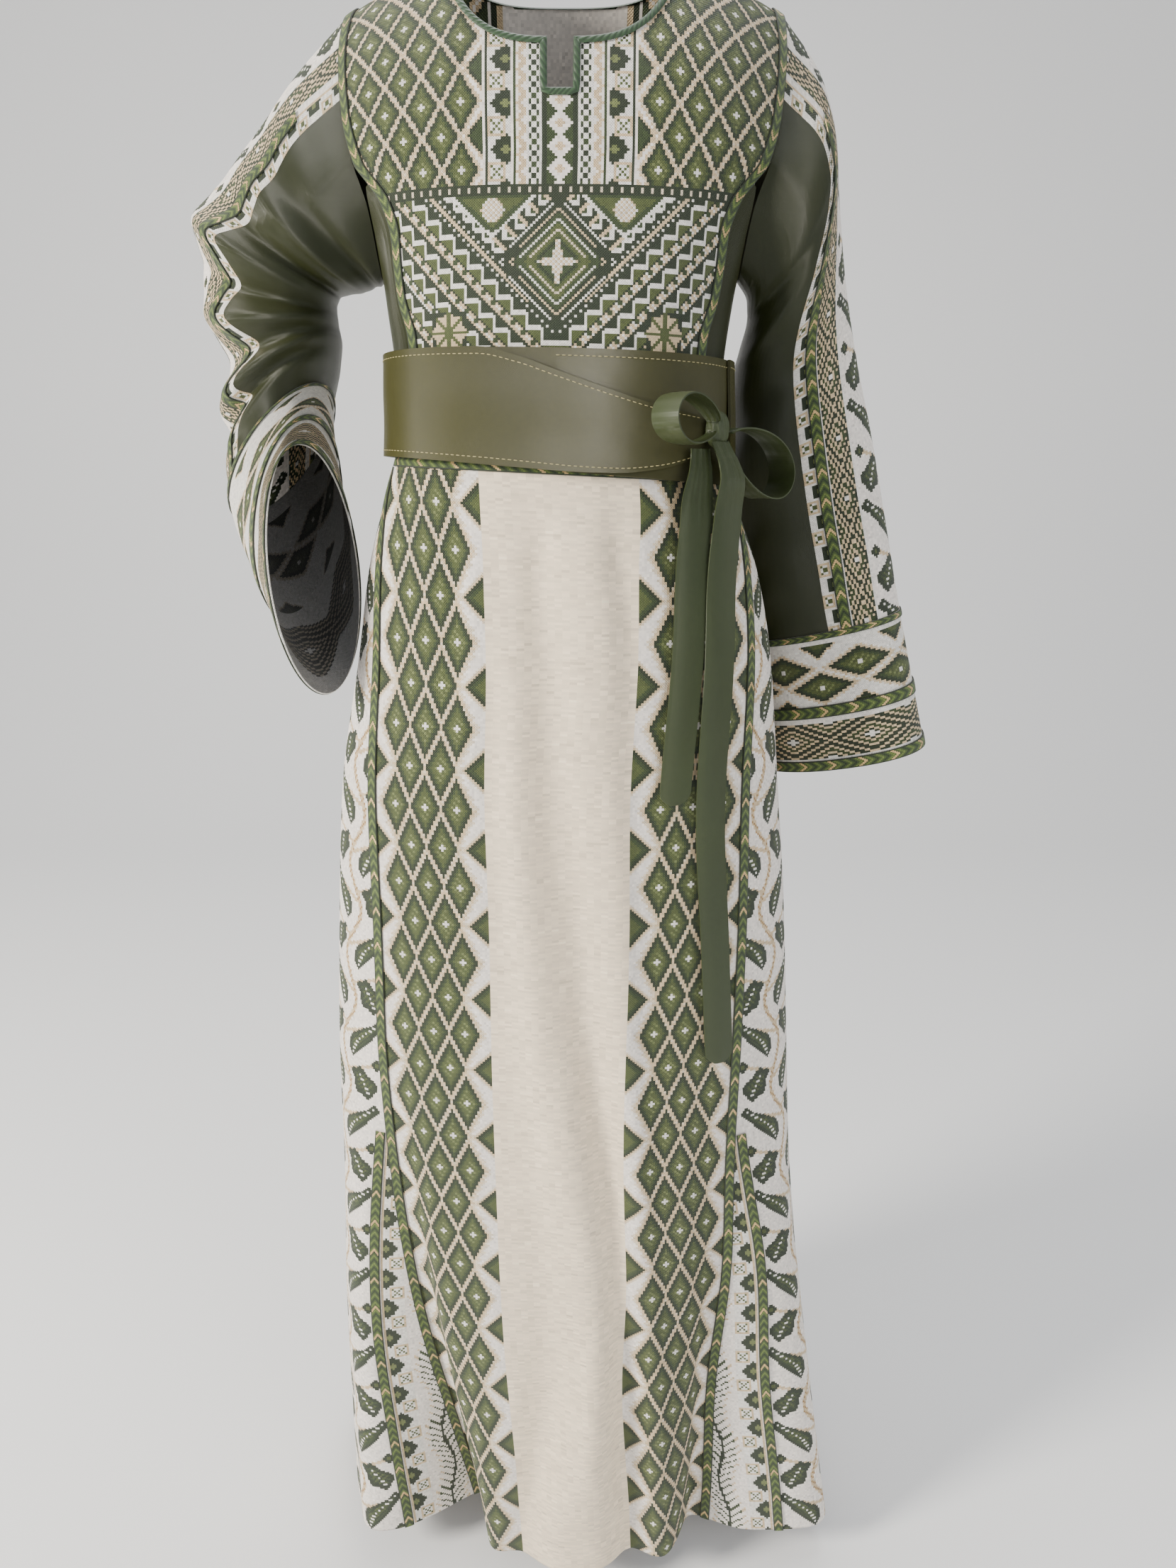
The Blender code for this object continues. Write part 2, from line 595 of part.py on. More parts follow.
def bodice_panel(name, behind):
    """Columns rise from the waist to the shoulder or to the neck's cut edge. The front's slit is cut
    from the top between its two middle columns."""
    strip = SHOULDER_TIP - BRAID_WIDTH
    neck = neck_half(behind)
    # each column's place at the chest, its place at the top, and its height there (None: the shoulder)
    columns = [(low, x, z) for low, (x, z) in zip(np.linspace(SLIT_HALF, 0.107, len(neck)), neck)]
    columns += [(0.116, NECK_HALF + 0.0005, None), (0.143, 0.126, None),
                (strip, strip, None), (1, 1, None)]
    shares, slit_foot = front_shares()
    outside, inside = [], []
    for level in range(len(BODICE_ROWS) + len(shares)):
        outer_row, inner_row = [], []
        for mirror in (-1, 1):
            for low, top, z in columns[::mirror]:
                station, x = BODICE_ROWS[min(level, len(BODICE_ROWS) - 1)], low
                if level >= len(BODICE_ROWS):
                    share = shares[level - len(BODICE_ROWS)]
                    reach = RIDGE if z is None else station_at(top, z)
                    station = 1 + (reach - 1) * share
                    x = low + (top - low) * share
                half = panel_half(station, behind) - SEAM / 2
                where = half if low == 1 else x * (half - BRAID_WIDTH) / strip
                outer_row.append(panel_place(station, mirror * where, behind, 0.0))
                inner_row.append(panel_place(station, mirror * where, behind, -CLOTH))
        outside.append(outer_row)
        inside.append(inner_row)
    slit_row = len(BODICE_ROWS) + shares.index(slit_foot)
    slit = [] if behind else [(i, len(columns) - 1) for i in range(slit_row, len(outside) - 1)]
    return wall(name, outside, inside, "green_embroidery", missing=slit)


SIDE_ROWS = BODICE_ROWS[:8]


def side_top(share):
    """The station where the satin side panel stops, across it from the front seam to the back."""
    return ARMPIT - 0.004 + (SIDE_ROWS[-1] - ARMPIT + 0.004) * ease(abs(2 * share - 1), 0.18, 1.0)


def bodice_side(name, side):
    """The satin side panel, from waist to armhole."""
    outside, inside = [], []
    for corner in SIDE_ROWS:
        outer_row, inner_row = [], []
        for share in np.linspace(0, 1, 11):
            station = corner * side_top(share) / SIDE_ROWS[-1]
            start = edge_distance(station, "braid", False) + SEAM / 2
            end = edge_distance(station, "braid", True) - SEAM / 2
            where = start + (end - start) * share
            if station > ARMPIT and 0 < share < 0.5:
                where = min(where, edge_distance(station, "armhole", False) - 2 * SEAM)
            if station > ARMPIT and 0.5 < share < 1:
                where = max(where, edge_distance(station, "armhole", True) + 2 * SEAM)
            outer_row.append(BODICE.place(station, side * where, 0.0))
            inner_row.append(BODICE.place(station, side * where, -CLOTH))
        outside.append(outer_row)
        inside.append(inner_row)
    return wall(name, outside, inside, "green_satin")


def bodice_braid(name, side, behind):
    stations = [0.045] + BODICE_ROWS[1:] + [1 + (RIDGE - 1) * share for share in front_shares()[0]]
    outside, inside = [], []
    for station in stations:
        edge = edge_distance(station, "braid", behind)
        places = edge + (1 if behind else -1) * np.array([SEAM / 2, BRAID_WIDTH])
        outside.append(BODICE.place(station, side * places, LIFT + BRAID))
        inside.append(BODICE.place(station, side * places, LIFT))
    return wall(name, outside, inside, "braid")


def build_bodice():
    bodice_panel("bodice_front", False)
    bodice_panel("bodice_back", True)
    for letter, side in (("l", 1), ("r", -1)):
        bodice_side("bodice_side_" + letter, side)
        bodice_braid("bodice_braid_f" + letter, side, False)
        bodice_braid("bodice_braid_b" + letter, side, True)


# Sleeves

SLEEVE_ROWS = {
    "l": [0.0, 0.9, 1.5, 2.1, 2.8, 3.5, 4.2, 4.9, 5.6, 6.3, 7.0, 7.8, 8.5, CUFF_START],
    "r": [0.0, 0.9, 1.5, 2.1, 2.7, 3.3, 3.9, 4.4, 4.9, 5.4, 5.9, 6.4, 6.9, 7.4, 7.9, 8.4, CUFF_START],
}
# Stations of the cuff's rows: its three braids lie between the first and last pairs and the middle one
CUFF_ROWS = CUFF_START + np.array([0.0, 0.075, 0.32, 0.565, 0.64, 0.92, 1.0])


def build_sleeve(letter, shape):
    rows = SLEEVE_ROWS[letter]

    def top_columns(v):
        half = SLEEVE_TOP_HALF - SEAM / 2
        inner = SLEEVE_BRAID_AT - BRAID_WIDTH / 2
        outer = SLEEVE_BRAID_AT + BRAID_WIDTH / 2
        return np.concatenate([[-half, -outer], np.linspace(-inner, inner, 7), [outer, half]])

    def under_columns(v):
        edge = SLEEVE_TOP_HALF + SEAM / 2
        return np.linspace(edge, shape.girth(v) - edge, 10)

    def round_columns(v):
        ring = np.concatenate([top_columns(CUFF_START), under_columns(CUFF_START)[1:-1]])
        return ring * shape.girth(v) / shape.girth(CUFF_START)

    cut("sleeve_top_" + letter, shape, rows, top_columns, "green_embroidery", short=CUFF_GAP)
    cut("sleeve_under_" + letter, shape, rows, under_columns, "green_satin", short=CUFF_GAP)
    cut("cuff_" + letter, shape, CUFF_ROWS, round_columns, "green_embroidery", closed=True)
    for end, sign in (("f", 1), ("b", -1)):
        def braid_columns(v):
            return sign * SLEEVE_BRAID_AT + BRAID_WIDTH / 2 * np.array([-1, 1])

        cut("sleeve_braid_" + end + letter, shape, rows[1:], braid_columns, "braid", LIFT + BRAID, BRAID,
            short=CUFF_GAP)
    for place, first in (("top", 0), ("mid", 3), ("hem", 5)):
        cut("cuff_braid_%s_%s" % (place, letter), shape, CUFF_ROWS[first:first + 2], round_columns, "braid",
            LIFT + BRAID, BRAID, closed=True)


# Neck binding

def neck_place(x, z, behind, out):
    """A point of the bodice at a place and height above the chest."""
    station = station_at(x, z)
    half = panel_half(station, behind) - SEAM / 2
    where = x * (half - BRAID_WIDTH) / (SHOULDER_TIP - BRAID_WIDTH)
    return panel_place(station, where, behind, out)


def build_binding():
    """The binding follows the neck's cut edge: down the front from the right shoulder, round the
    slit, up to the left shoulder and back across the back neck."""
    front = [(x, z, False) for x, z in neck_half(False)]
    back = [(x, z, True) for x, z in neck_half(True)]
    slit = [(SLIT_HALF, (front[0][1] + SLIT_BOTTOM) / 2, False), (SLIT_HALF, SLIT_BOTTOM, False)]
    left = slit[::-1] + front + [(NECK_HALF, -0.0001, False)] + back[::-1]
    path = [(-x, z, behind) for x, z, behind in left[::-1]] + left
    edge = np.array([neck_place(*cell, 0.0) for cell in path])
    normal = np.array([neck_place(*cell, 1.0) for cell in path]) - edge
    ways = np.roll(edge, -1, 0) - edge
    ways /= np.linalg.norm(ways, axis=1, keepdims=True)
    sides = np.cross(normal, ways)
    sides /= np.linalg.norm(sides, axis=1, keepdims=True)
    before = np.roll(sides, 1, 0)
    off = (sides + before) / (1 + np.sum(sides * before, axis=1, keepdims=True))
    outside = [edge + off * width + normal * (BINDING_LIFT + BRAID) for width in (SEAM, BINDING_WIDTH)]
    inside = [edge + off * width + normal * BINDING_LIFT for width in (SEAM, BINDING_WIDTH)]
    wall("neck_binding", outside, inside, "binding", closed=True)


# Sash

BELT_OUT = 0.0044
WRAP_OUT = BELT_OUT + BELT + 0.0008
WRAP = 0.0016
KNOT_AT = (0.42, 0.128)
BELT_COLUMNS = 44

# The second turn of the sash: a row for each place along it, from the knot back round the wearer's
# right side, with the heights of its lower and upper edge as shares of the belt's height.
WRAP_EDGE = Table(("distance", "low", "high"), [
    (-0.700, 0.00, 1.00),
    (-0.060, 0.00, 1.00),
    (-0.030, 0.00, 0.93),
    (0.000, 0.00, 0.82),
    (0.045, 0.02, 0.67),
    (0.080, 0.08, 0.58),
    (0.122, 0.22, 0.52),
])

# Ribbon tails: height, distance round the skirt and how far in front of it
SHORT_TAIL = Table(("z", "distance", "out"), [
    (-0.3895, 0.1115, 0.016), (-0.405, 0.111, 0.0175), (-0.430, 0.109, 0.014), (-0.500, 0.108, 0.008),
    (-0.600, 0.106, 0.006), (-0.690, 0.104, 0.006)])
LONG_TAIL = Table(("z", "distance", "out"), [
    (-0.385, 0.1240, 0.0232), (-0.400, 0.1290, 0.0270), (-0.415, 0.1335, 0.0272), (-0.440, 0.1355, 0.0185),
    (-0.470, 0.135, 0.014), (-0.510, 0.135, 0.010), (-0.600, 0.136, 0.008),
    (-0.720, 0.139, 0.006), (-0.840, 0.148, 0.006), (-0.952, 0.158, 0.006)])


def belt_shape(share, angle):
    low = skirt_shape(-0.411, angle)
    high = bodice_shape((-0.318 - WAIST_Z) / (CHEST_Z - WAIST_Z), angle)
    points = low + (high - low) * share
    x = points[:, 0]
    points[:, 2] = (-0.410 - 0.085 * x) * (1 - share) + (-0.318 - 0.020 * x) * share
    return points


BELT_SHAPE = Shape(belt_shape, 0.01)


def build_belt():
    def round_columns(share):
        return np.linspace(0, BELT_SHAPE.girth(share), BELT_COLUMNS + 1)[:-1]

    cut("belt", BELT_SHAPE, (0.0, 0.5, 1.0), round_columns, "green_satin", BELT_OUT + BELT, BELT,
        closed=True)

    girth = BELT_SHAPE.girth(0.5)
    spacing = girth / BELT_COLUMNS
    shares = np.arange(-BELT_COLUMNS + 9, 8) * spacing
    outside, inside = [], []
    for share in (0.0, 0.5, 1.0):
        outer_row, inner_row = [], []
        for place in shares:
            low = float(WRAP_EDGE.at("low", place))
            high = float(WRAP_EDGE.at("high", place))
            height = low + (high - low) * share
            scaled = place * BELT_SHAPE.girth(height) / girth
            outer_row.append(BELT_SHAPE.place(height, scaled, WRAP_OUT + WRAP))
            inner_row.append(BELT_SHAPE.place(height, scaled, WRAP_OUT))
        outside.append(outer_row)
        inside.append(inner_row)
    wall("belt_wrap", outside, inside, "green_satin")


def knot_frame():
    """The knot's middle, and directions along the sash, up and out of it."""
    height, distance = KNOT_AT
    middle = BELT_SHAPE.place(height, distance, WRAP_OUT + WRAP + 0.0074)
    along = BELT_SHAPE.place(height, distance + 0.01) - BELT_SHAPE.place(height, distance - 0.01)
    along /= np.linalg.norm(along)
    out = np.cross(along, (0, 0, 1))
    out /= np.linalg.norm(out)
    return middle, along, np.cross(out, along), out


def build_knot():
    middle, along, up, out = knot_frame()
    mesh = bmesh.new()
    bmesh.ops.create_uvsphere(mesh, u_segments=10, v_segments=7, radius=1.0)
    for vert in mesh.verts:
        x, y, z = vert.co
        swell = 1 + 0.12 * abs(z)
        vert.co = middle + along * (x * 0.0115 * swell) + out * (-y * 0.0085) + up * (z * 0.0145)
    finish_piece("bow_knot", mesh, "green_satin")


def build_loop(name, side, lean, start, reach, gape, level):
    """A loop of ribbon that leaves the knot, turns back and comes in under itself. lean is its fall
    in degrees, start its distance from the knot's middle, reach its length, gape how far it stands
    open, and level how far out it lies."""
    middle, along, up, out = knot_frame()
    fall = math.radians(lean)
    aim = along * (side * math.cos(fall)) - up * math.sin(fall)
    over = along * (side * math.sin(fall)) + up * math.cos(fall)
    outside, inside = [], []
    ts = np.linspace(0, 1, 21)
    swell = np.sin(math.pi * ts)
    far = start + reach * (1 - np.cos(2 * math.pi * ts)) / 2
    rise = 0.0035 * np.cos(math.pi * ts) + gape * np.sin(2 * math.pi * ts) * (0.30 + 0.70 * swell)
    path = middle + far[:, None] * aim + rise[:, None] * over + level * out
    half = RIBBON_WIDTH / 2 * (0.36 + 0.64 * swell ** 0.6) * (1 - 0.35 * ease(ts, 0.6, 0.9))
    ahead = np.gradient(path, axis=0)
    for point, way, width in zip(path, ahead, half):
        across = out
        skin = np.cross(way, across)
        skin /= np.linalg.norm(skin)
        outside.append([point + across * (width * w) + skin * RIBBON / 2 for w in (-1, 0, 1)])
        inside.append([point + across * (width * w) - skin * RIBBON / 2 for w in (-1, 0, 1)])
    wall(name, outside, inside, "green_satin")


def build_tail(name, table, rounding):
    outside, inside = [], []
    top, end = table.values[-1, 0], table.values[0, 0]
    last_rows = end + rounding * np.array([0.45, 0.15, 0.0])
    rows = np.concatenate([spread(top, end + rounding, 0.035), last_rows])
    for z in rows:
        place = float(table.at("distance", z))
        out = float(table.at("out", z))
        close = min(max((end + rounding - z) / rounding, 0), 0.94)
        half = RIBBON_WIDTH / 2 * math.sqrt(1 - close * close) * (0.62 + 0.38 * ease(z, top, top - 0.05))
        ring = min(z, WAIST_Z - SEAM)
        lift = np.array([0, 0, z - ring])
        columns = place + half * np.array([-1, -0.33, 0.33, 1])
        curl = out + np.array([0.0, 0.0012, 0.0006, 0.0])
        outside.append(SKIRT_SHAPE.place(ring, columns, curl + RIBBON) + lift)
        inside.append(SKIRT_SHAPE.place(ring, columns, curl) + lift)
    wall(name, outside, inside, "green_satin")


def build_bow():
    build_knot()
    build_loop("bow_loop_r", -1, -6, 0.0118, 0.060, 0.020, 0.006)
    build_loop("bow_loop_l", 1, 24, 0.0129, 0.085, 0.026, 0.001)
    build_tail("bow_tail_short", SHORT_TAIL, 0.012)
    build_tail("bow_tail_long", LONG_TAIL, 0.012)


build_skirt()
build_bodice()
build_binding()
build_belt()
build_bow()
for letter, shape in SLEEVES.items():
    build_sleeve(letter, shape)
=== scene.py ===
"""The embroidered thobe in cloth and thread, laid in the shapes of the dress's solids. A stitch is
one face of its cloth, but for the skirt's back, where the faces are a little larger. Metres, +Z up,
the front faces -Y.
"""
import json
import math

import bmesh
import bpy
import numpy as np
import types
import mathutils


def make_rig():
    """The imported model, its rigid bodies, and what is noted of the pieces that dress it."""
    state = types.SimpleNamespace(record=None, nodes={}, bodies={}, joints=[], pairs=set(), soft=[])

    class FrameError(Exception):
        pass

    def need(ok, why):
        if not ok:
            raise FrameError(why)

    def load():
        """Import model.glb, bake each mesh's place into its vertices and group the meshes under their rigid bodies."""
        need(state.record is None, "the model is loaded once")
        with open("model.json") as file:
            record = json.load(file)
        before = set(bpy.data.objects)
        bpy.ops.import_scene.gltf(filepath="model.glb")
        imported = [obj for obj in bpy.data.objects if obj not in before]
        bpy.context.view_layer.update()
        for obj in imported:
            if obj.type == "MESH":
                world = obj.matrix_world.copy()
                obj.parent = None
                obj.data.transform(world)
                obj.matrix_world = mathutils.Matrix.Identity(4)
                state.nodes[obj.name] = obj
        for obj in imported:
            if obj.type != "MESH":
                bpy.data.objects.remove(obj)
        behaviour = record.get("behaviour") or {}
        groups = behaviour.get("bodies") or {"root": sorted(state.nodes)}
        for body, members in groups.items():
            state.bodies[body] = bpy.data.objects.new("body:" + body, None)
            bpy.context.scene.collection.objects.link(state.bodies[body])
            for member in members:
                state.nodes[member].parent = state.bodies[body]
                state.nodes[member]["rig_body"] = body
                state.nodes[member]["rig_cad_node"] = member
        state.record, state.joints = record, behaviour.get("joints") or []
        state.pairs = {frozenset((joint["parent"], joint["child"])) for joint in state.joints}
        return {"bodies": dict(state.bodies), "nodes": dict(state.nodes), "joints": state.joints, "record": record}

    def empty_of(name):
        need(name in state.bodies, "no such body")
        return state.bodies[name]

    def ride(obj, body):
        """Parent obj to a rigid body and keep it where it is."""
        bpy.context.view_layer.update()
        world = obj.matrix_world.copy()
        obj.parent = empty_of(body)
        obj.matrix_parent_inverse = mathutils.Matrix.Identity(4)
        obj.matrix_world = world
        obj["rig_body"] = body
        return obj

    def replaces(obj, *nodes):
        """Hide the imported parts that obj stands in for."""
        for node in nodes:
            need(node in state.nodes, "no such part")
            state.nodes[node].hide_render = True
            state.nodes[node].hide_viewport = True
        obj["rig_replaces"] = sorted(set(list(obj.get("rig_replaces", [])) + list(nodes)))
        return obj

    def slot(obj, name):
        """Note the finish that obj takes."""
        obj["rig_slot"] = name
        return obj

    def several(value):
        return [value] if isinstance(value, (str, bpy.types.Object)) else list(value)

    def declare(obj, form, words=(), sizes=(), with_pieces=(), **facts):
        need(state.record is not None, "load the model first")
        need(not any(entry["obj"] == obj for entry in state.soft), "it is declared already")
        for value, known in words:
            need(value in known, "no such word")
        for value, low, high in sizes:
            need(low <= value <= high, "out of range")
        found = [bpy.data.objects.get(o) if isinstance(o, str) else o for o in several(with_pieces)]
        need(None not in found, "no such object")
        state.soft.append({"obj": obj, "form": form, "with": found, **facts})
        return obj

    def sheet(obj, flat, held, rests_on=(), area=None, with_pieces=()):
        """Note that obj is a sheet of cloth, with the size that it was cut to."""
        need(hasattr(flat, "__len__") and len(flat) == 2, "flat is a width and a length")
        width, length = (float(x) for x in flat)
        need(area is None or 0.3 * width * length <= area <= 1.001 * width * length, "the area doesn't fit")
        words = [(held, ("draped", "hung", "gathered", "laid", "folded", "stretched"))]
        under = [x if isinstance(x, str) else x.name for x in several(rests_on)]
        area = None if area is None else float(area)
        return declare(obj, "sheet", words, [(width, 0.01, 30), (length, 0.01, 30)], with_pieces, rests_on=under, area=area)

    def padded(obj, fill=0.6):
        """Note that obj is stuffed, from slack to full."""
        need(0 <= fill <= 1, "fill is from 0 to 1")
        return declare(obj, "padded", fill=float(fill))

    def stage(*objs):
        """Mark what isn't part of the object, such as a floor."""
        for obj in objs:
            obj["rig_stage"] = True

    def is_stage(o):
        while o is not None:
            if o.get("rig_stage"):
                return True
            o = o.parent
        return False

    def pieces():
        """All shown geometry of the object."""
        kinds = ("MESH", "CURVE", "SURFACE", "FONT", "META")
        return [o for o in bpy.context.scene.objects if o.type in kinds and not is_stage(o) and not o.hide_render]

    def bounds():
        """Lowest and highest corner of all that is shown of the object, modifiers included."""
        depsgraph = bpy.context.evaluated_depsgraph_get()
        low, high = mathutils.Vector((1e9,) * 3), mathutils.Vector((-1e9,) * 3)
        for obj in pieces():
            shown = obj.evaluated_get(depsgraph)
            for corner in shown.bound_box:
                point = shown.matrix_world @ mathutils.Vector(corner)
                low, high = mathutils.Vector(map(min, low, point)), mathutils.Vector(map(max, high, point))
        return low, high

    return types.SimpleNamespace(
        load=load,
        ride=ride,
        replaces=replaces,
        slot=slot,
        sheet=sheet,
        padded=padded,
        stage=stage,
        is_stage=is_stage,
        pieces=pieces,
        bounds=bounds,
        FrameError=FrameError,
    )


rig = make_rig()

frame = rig.load()
cad_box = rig.bounds()

# Studio: the photograph's camera, a plain pale floor that rises into a backdrop, and soft light
# from large lamps: the main one from the front left, a weaker one from the right, one above.
TILT_DOWN = 16.5
FLOOR_Z = -1.60
FLOOR_FRONT = -7
FLOOR_SIDE = 9
FLOOR_BEND = 1.6
WALL_Y = 3.8
WALL_TOP = 5.0

lens = bpy.data.cameras.new("camera")
lens.lens = 24
lens.sensor_fit = "VERTICAL"
lens.sensor_height = 36
lens.clip_start = 0.05
camera = bpy.data.objects.new("camera", lens)
camera.location = (0.0185, -1.028, -0.412)
camera.rotation_euler = (math.radians(90 - TILT_DOWN), 0, 0)
bpy.context.scene.collection.objects.link(camera)
bpy.context.scene.camera = camera

bend = [(WALL_Y - FLOOR_BEND * (1 - math.sin(turn)), FLOOR_Z + FLOOR_BEND * (1 - math.cos(turn)))
        for turn in np.linspace(0, math.pi / 2, 24)]
profile = [(FLOOR_FRONT, FLOOR_Z)] + bend + [(WALL_Y, WALL_TOP)]
corners = [(x, y, z) for y, z in profile for x in (-FLOOR_SIDE, FLOOR_SIDE)]
paper = bpy.data.meshes.new("floor")
paper.from_pydata(corners, [], [(k, k + 1, k + 3, k + 2) for k in range(0, len(corners) - 2, 2)])
paper.shade_smooth()
floor = bpy.data.objects.new("floor", paper)
floor_paint = bpy.data.materials.new("floor_paint")
floor_paint.use_nodes = True
floor_shader = floor_paint.node_tree.nodes["Principled BSDF"]
floor_shader.inputs["Base Color"].default_value = (0.90, 0.90, 0.89, 1)
floor_shader.inputs["Roughness"].default_value = 0.9
paper.materials.append(floor_paint)
bpy.context.scene.collection.objects.link(floor)
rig.stage(floor)


def lamp(name, place, aim, size, watts, colour):
    """A soft round lamp at a place, aimed at a point."""
    light = bpy.data.lights.new(name, "AREA")
    light.shape = "DISK"
    light.size = size
    light.energy = watts
    light.color = colour
    holder = bpy.data.objects.new(name, light)
    holder.location = place
    direction = np.subtract(place, aim)
    turn = math.atan2(direction[0], -direction[1])
    holder.rotation_euler = (math.acos(direction[2] / np.linalg.norm(direction)), 0, turn)
    bpy.context.scene.collection.objects.link(holder)


lamp("key", (-2.9, -1.5, 0.5), (0, 0, -0.7), 0.9, 200, (1.0, 0.95, 0.87))
lamp("fill", (2.2, -2.2, 0.0), (0, 0, -0.8), 2.2, 30, (0.97, 0.98, 1.0))
lamp("top", (0.2, 0.4, 2.0), (0, 0, -0.5), 1.6, 40, (1.0, 1.0, 1.0))
sky = bpy.data.worlds.new("studio")
sky.use_nodes = True
sky.node_tree.nodes["Background"].inputs["Color"].default_value = (0.93, 0.95, 1.0, 1)
sky.node_tree.nodes["Background"].inputs["Strength"].default_value = 0.60
bpy.context.scene.world = sky

# Skirt front: cream linen, bare in the middle, with a band of cross-stitched diamonds down each
# side, sewn in cotton thread. It is sewn into the waist seam and turned in at the hem.
CLOTH = 0.0015
SEAM = 0.0003
WAIST_Z = -0.400
HEM_Z = -1.550
WAIST_TILT = -0.05
FRONT_HALF = 0.180
BARE_HALF = 0.066
FOLDS_FROM = -0.415
SAMPLES = 480
BAND_STITCHES = 52
BARE_STITCHES = 20
ROW_PITCH = 0.00216
HEM_TURN = 0.012
SKIRT_LENGTH = 1.165
DIAMOND_ROWS = 34
DIAMOND_COLUMNS = 14


class Table:
    """Rows of named columns, read between the rows along smooth curves that never overshoot."""

    def __init__(self, columns, rows):
        self.columns = columns
        self.values = np.array(sorted(rows), float)

    def at(self, column, where):
        """A column's value at a place along the first column."""
        knots = self.values[:, 0]
        heights = self.values[:, self.columns.index(column)]
        steps = np.diff(knots)
        slopes = np.diff(heights) / steps
        tangents = np.zeros(len(knots))
        tangents[0] = slopes[0]
        tangents[-1] = slopes[-1]
        for i in range(1, len(knots) - 1):
            if slopes[i - 1] * slopes[i] > 0:
                tangents[i] = 2 * slopes[i - 1] * slopes[i] / (slopes[i - 1] + slopes[i])
        where = np.clip(where, knots[0], knots[-1])
        i = np.clip(np.searchsorted(knots, where, "right") - 1, 0, len(steps) - 1)
        f = (where - knots[i]) / steps[i]
        return ((1 + 2 * f) * (1 - f) ** 2 * heights[i] + f * (1 - f) ** 2 * steps[i] * tangents[i]
                + f * f * (3 - 2 * f) * heights[i + 1] - f * f * (1 - f) * steps[i] * tangents[i + 1])


def ease(value, start, end):
    """0 at start, 1 at end, and level at both."""
    f = np.clip((value - start) / (end - start), 0, 1)
    return f * f * (3 - 2 * f)


def power(value, exponent):
    """A power that keeps the sign."""
    return np.sign(value) * np.abs(value) ** exponent


# A row for each section of the skirt: the four sides of its outline.
SKIRT = Table(
    ("z", "left", "right", "front", "back", "square"), [
        (-0.400, -0.1470, 0.1350, -0.152, 0.033, 2.15),
        (-0.450, -0.1660, 0.1590, -0.156, 0.055, 2.20),
        (-0.500, -0.1820, 0.1760, -0.158, 0.074, 2.25),
        (-0.570, -0.1960, 0.1900, -0.160, 0.090, 2.30),
        (-0.700, -0.2216, 0.2045, -0.160, 0.098, 2.30),
        (-0.820, -0.2330, 0.2171, -0.160, 0.102, 2.30),
        (-1.000, -0.2450, 0.2300, -0.162, 0.108, 2.35),
        (-1.100, -0.2490, 0.2368, -0.164, 0.112, 2.40),
        (-1.300, -0.2620, 0.2600, -0.166, 0.122, 2.40),
        (-1.550, -0.2700, 0.2850, -0.169, 0.135, 2.40),
    ])

# A row for each fold of the skirt: the height and angle where it starts and ends, its half width
# in degrees, and how far it stands out at each end (in, where negative). Angles run from the front
# centre, positive to the wearer's left.
FOLDS = [
    (-0.93, -45, -1.56, -29, 9.5, 0.000, -0.080),
    (-0.90, -60, -1.56, -48, 10, 0.000, 0.022),
    (-0.98, -14, -1.56, -9, 9, 0.000, 0.006),
    (-0.93, 44, -1.56, 28, 8, 0.000, -0.036),
    (-0.95, 62, -1.56, 58, 12, 0.000, 0.042),
    (-1.15, 90, -1.56, 86, 9, 0.000, -0.018),
    (-0.95, -84, -1.56, -82, 9, 0.000, -0.020),
    (-0.60, 122, -1.56, 116, 10, 0.000, 0.024),
    (-0.80, 141, -1.56, 139, 8, 0.000, -0.034),
    (-0.55, 162, -1.56, 163, 9, 0.000, 0.020),
    (-0.80, -178, -1.56, -176, 8, 0.000, -0.030),
    (-0.55, -157, -1.56, -156, 9, 0.000, 0.022),
    (-0.80, -137, -1.56, -133, 8, 0.000, -0.036),
    (-0.60, -116, -1.56, -109, 9, 0.000, 0.022),
    (-0.40, -22, -1.00, -14, 5, 0.004, 0.000),
    (-0.40, -14, -0.95, -8, 4, -0.004, 0.000),
    (-0.40, 3, -1.05, 8, 5, 0.004, 0.000),
    (-0.40, 12, -0.90, 15, 4, -0.003, 0.000),
]

# Width of the skirt's side panel at each height.
SIDE_PANEL = Table(("z", "width"), [
    (-0.40, 0.045), (-0.70, 0.072), (-0.965, 0.106), (-1.25, 0.150), (-1.55, 0.190)])


def outline(angle, left, right, front, back, square):
    """A level outline from its four sides: x and y at each angle from the front centre."""
    middle_y = front + 0.5 * (back - front)
    x = (left + right) / 2 + (right - left) / 2 * power(np.sin(angle), 2 / square)
    lean = power(np.cos(angle), 2 / square)
    y = np.where(lean > 0, middle_y - (middle_y - front) * lean, middle_y - (back - middle_y) * lean)
    return x, y


def around(angle, centre):
    """The difference of two angles in degrees, the short way round."""
    return (np.degrees(angle) - centre + 180) % 360 - 180


def waist_tilt(x, fade):
    """How far the slant of the waist lifts or lowers it at x."""
    return WAIST_TILT * (x + 0.006) * fade


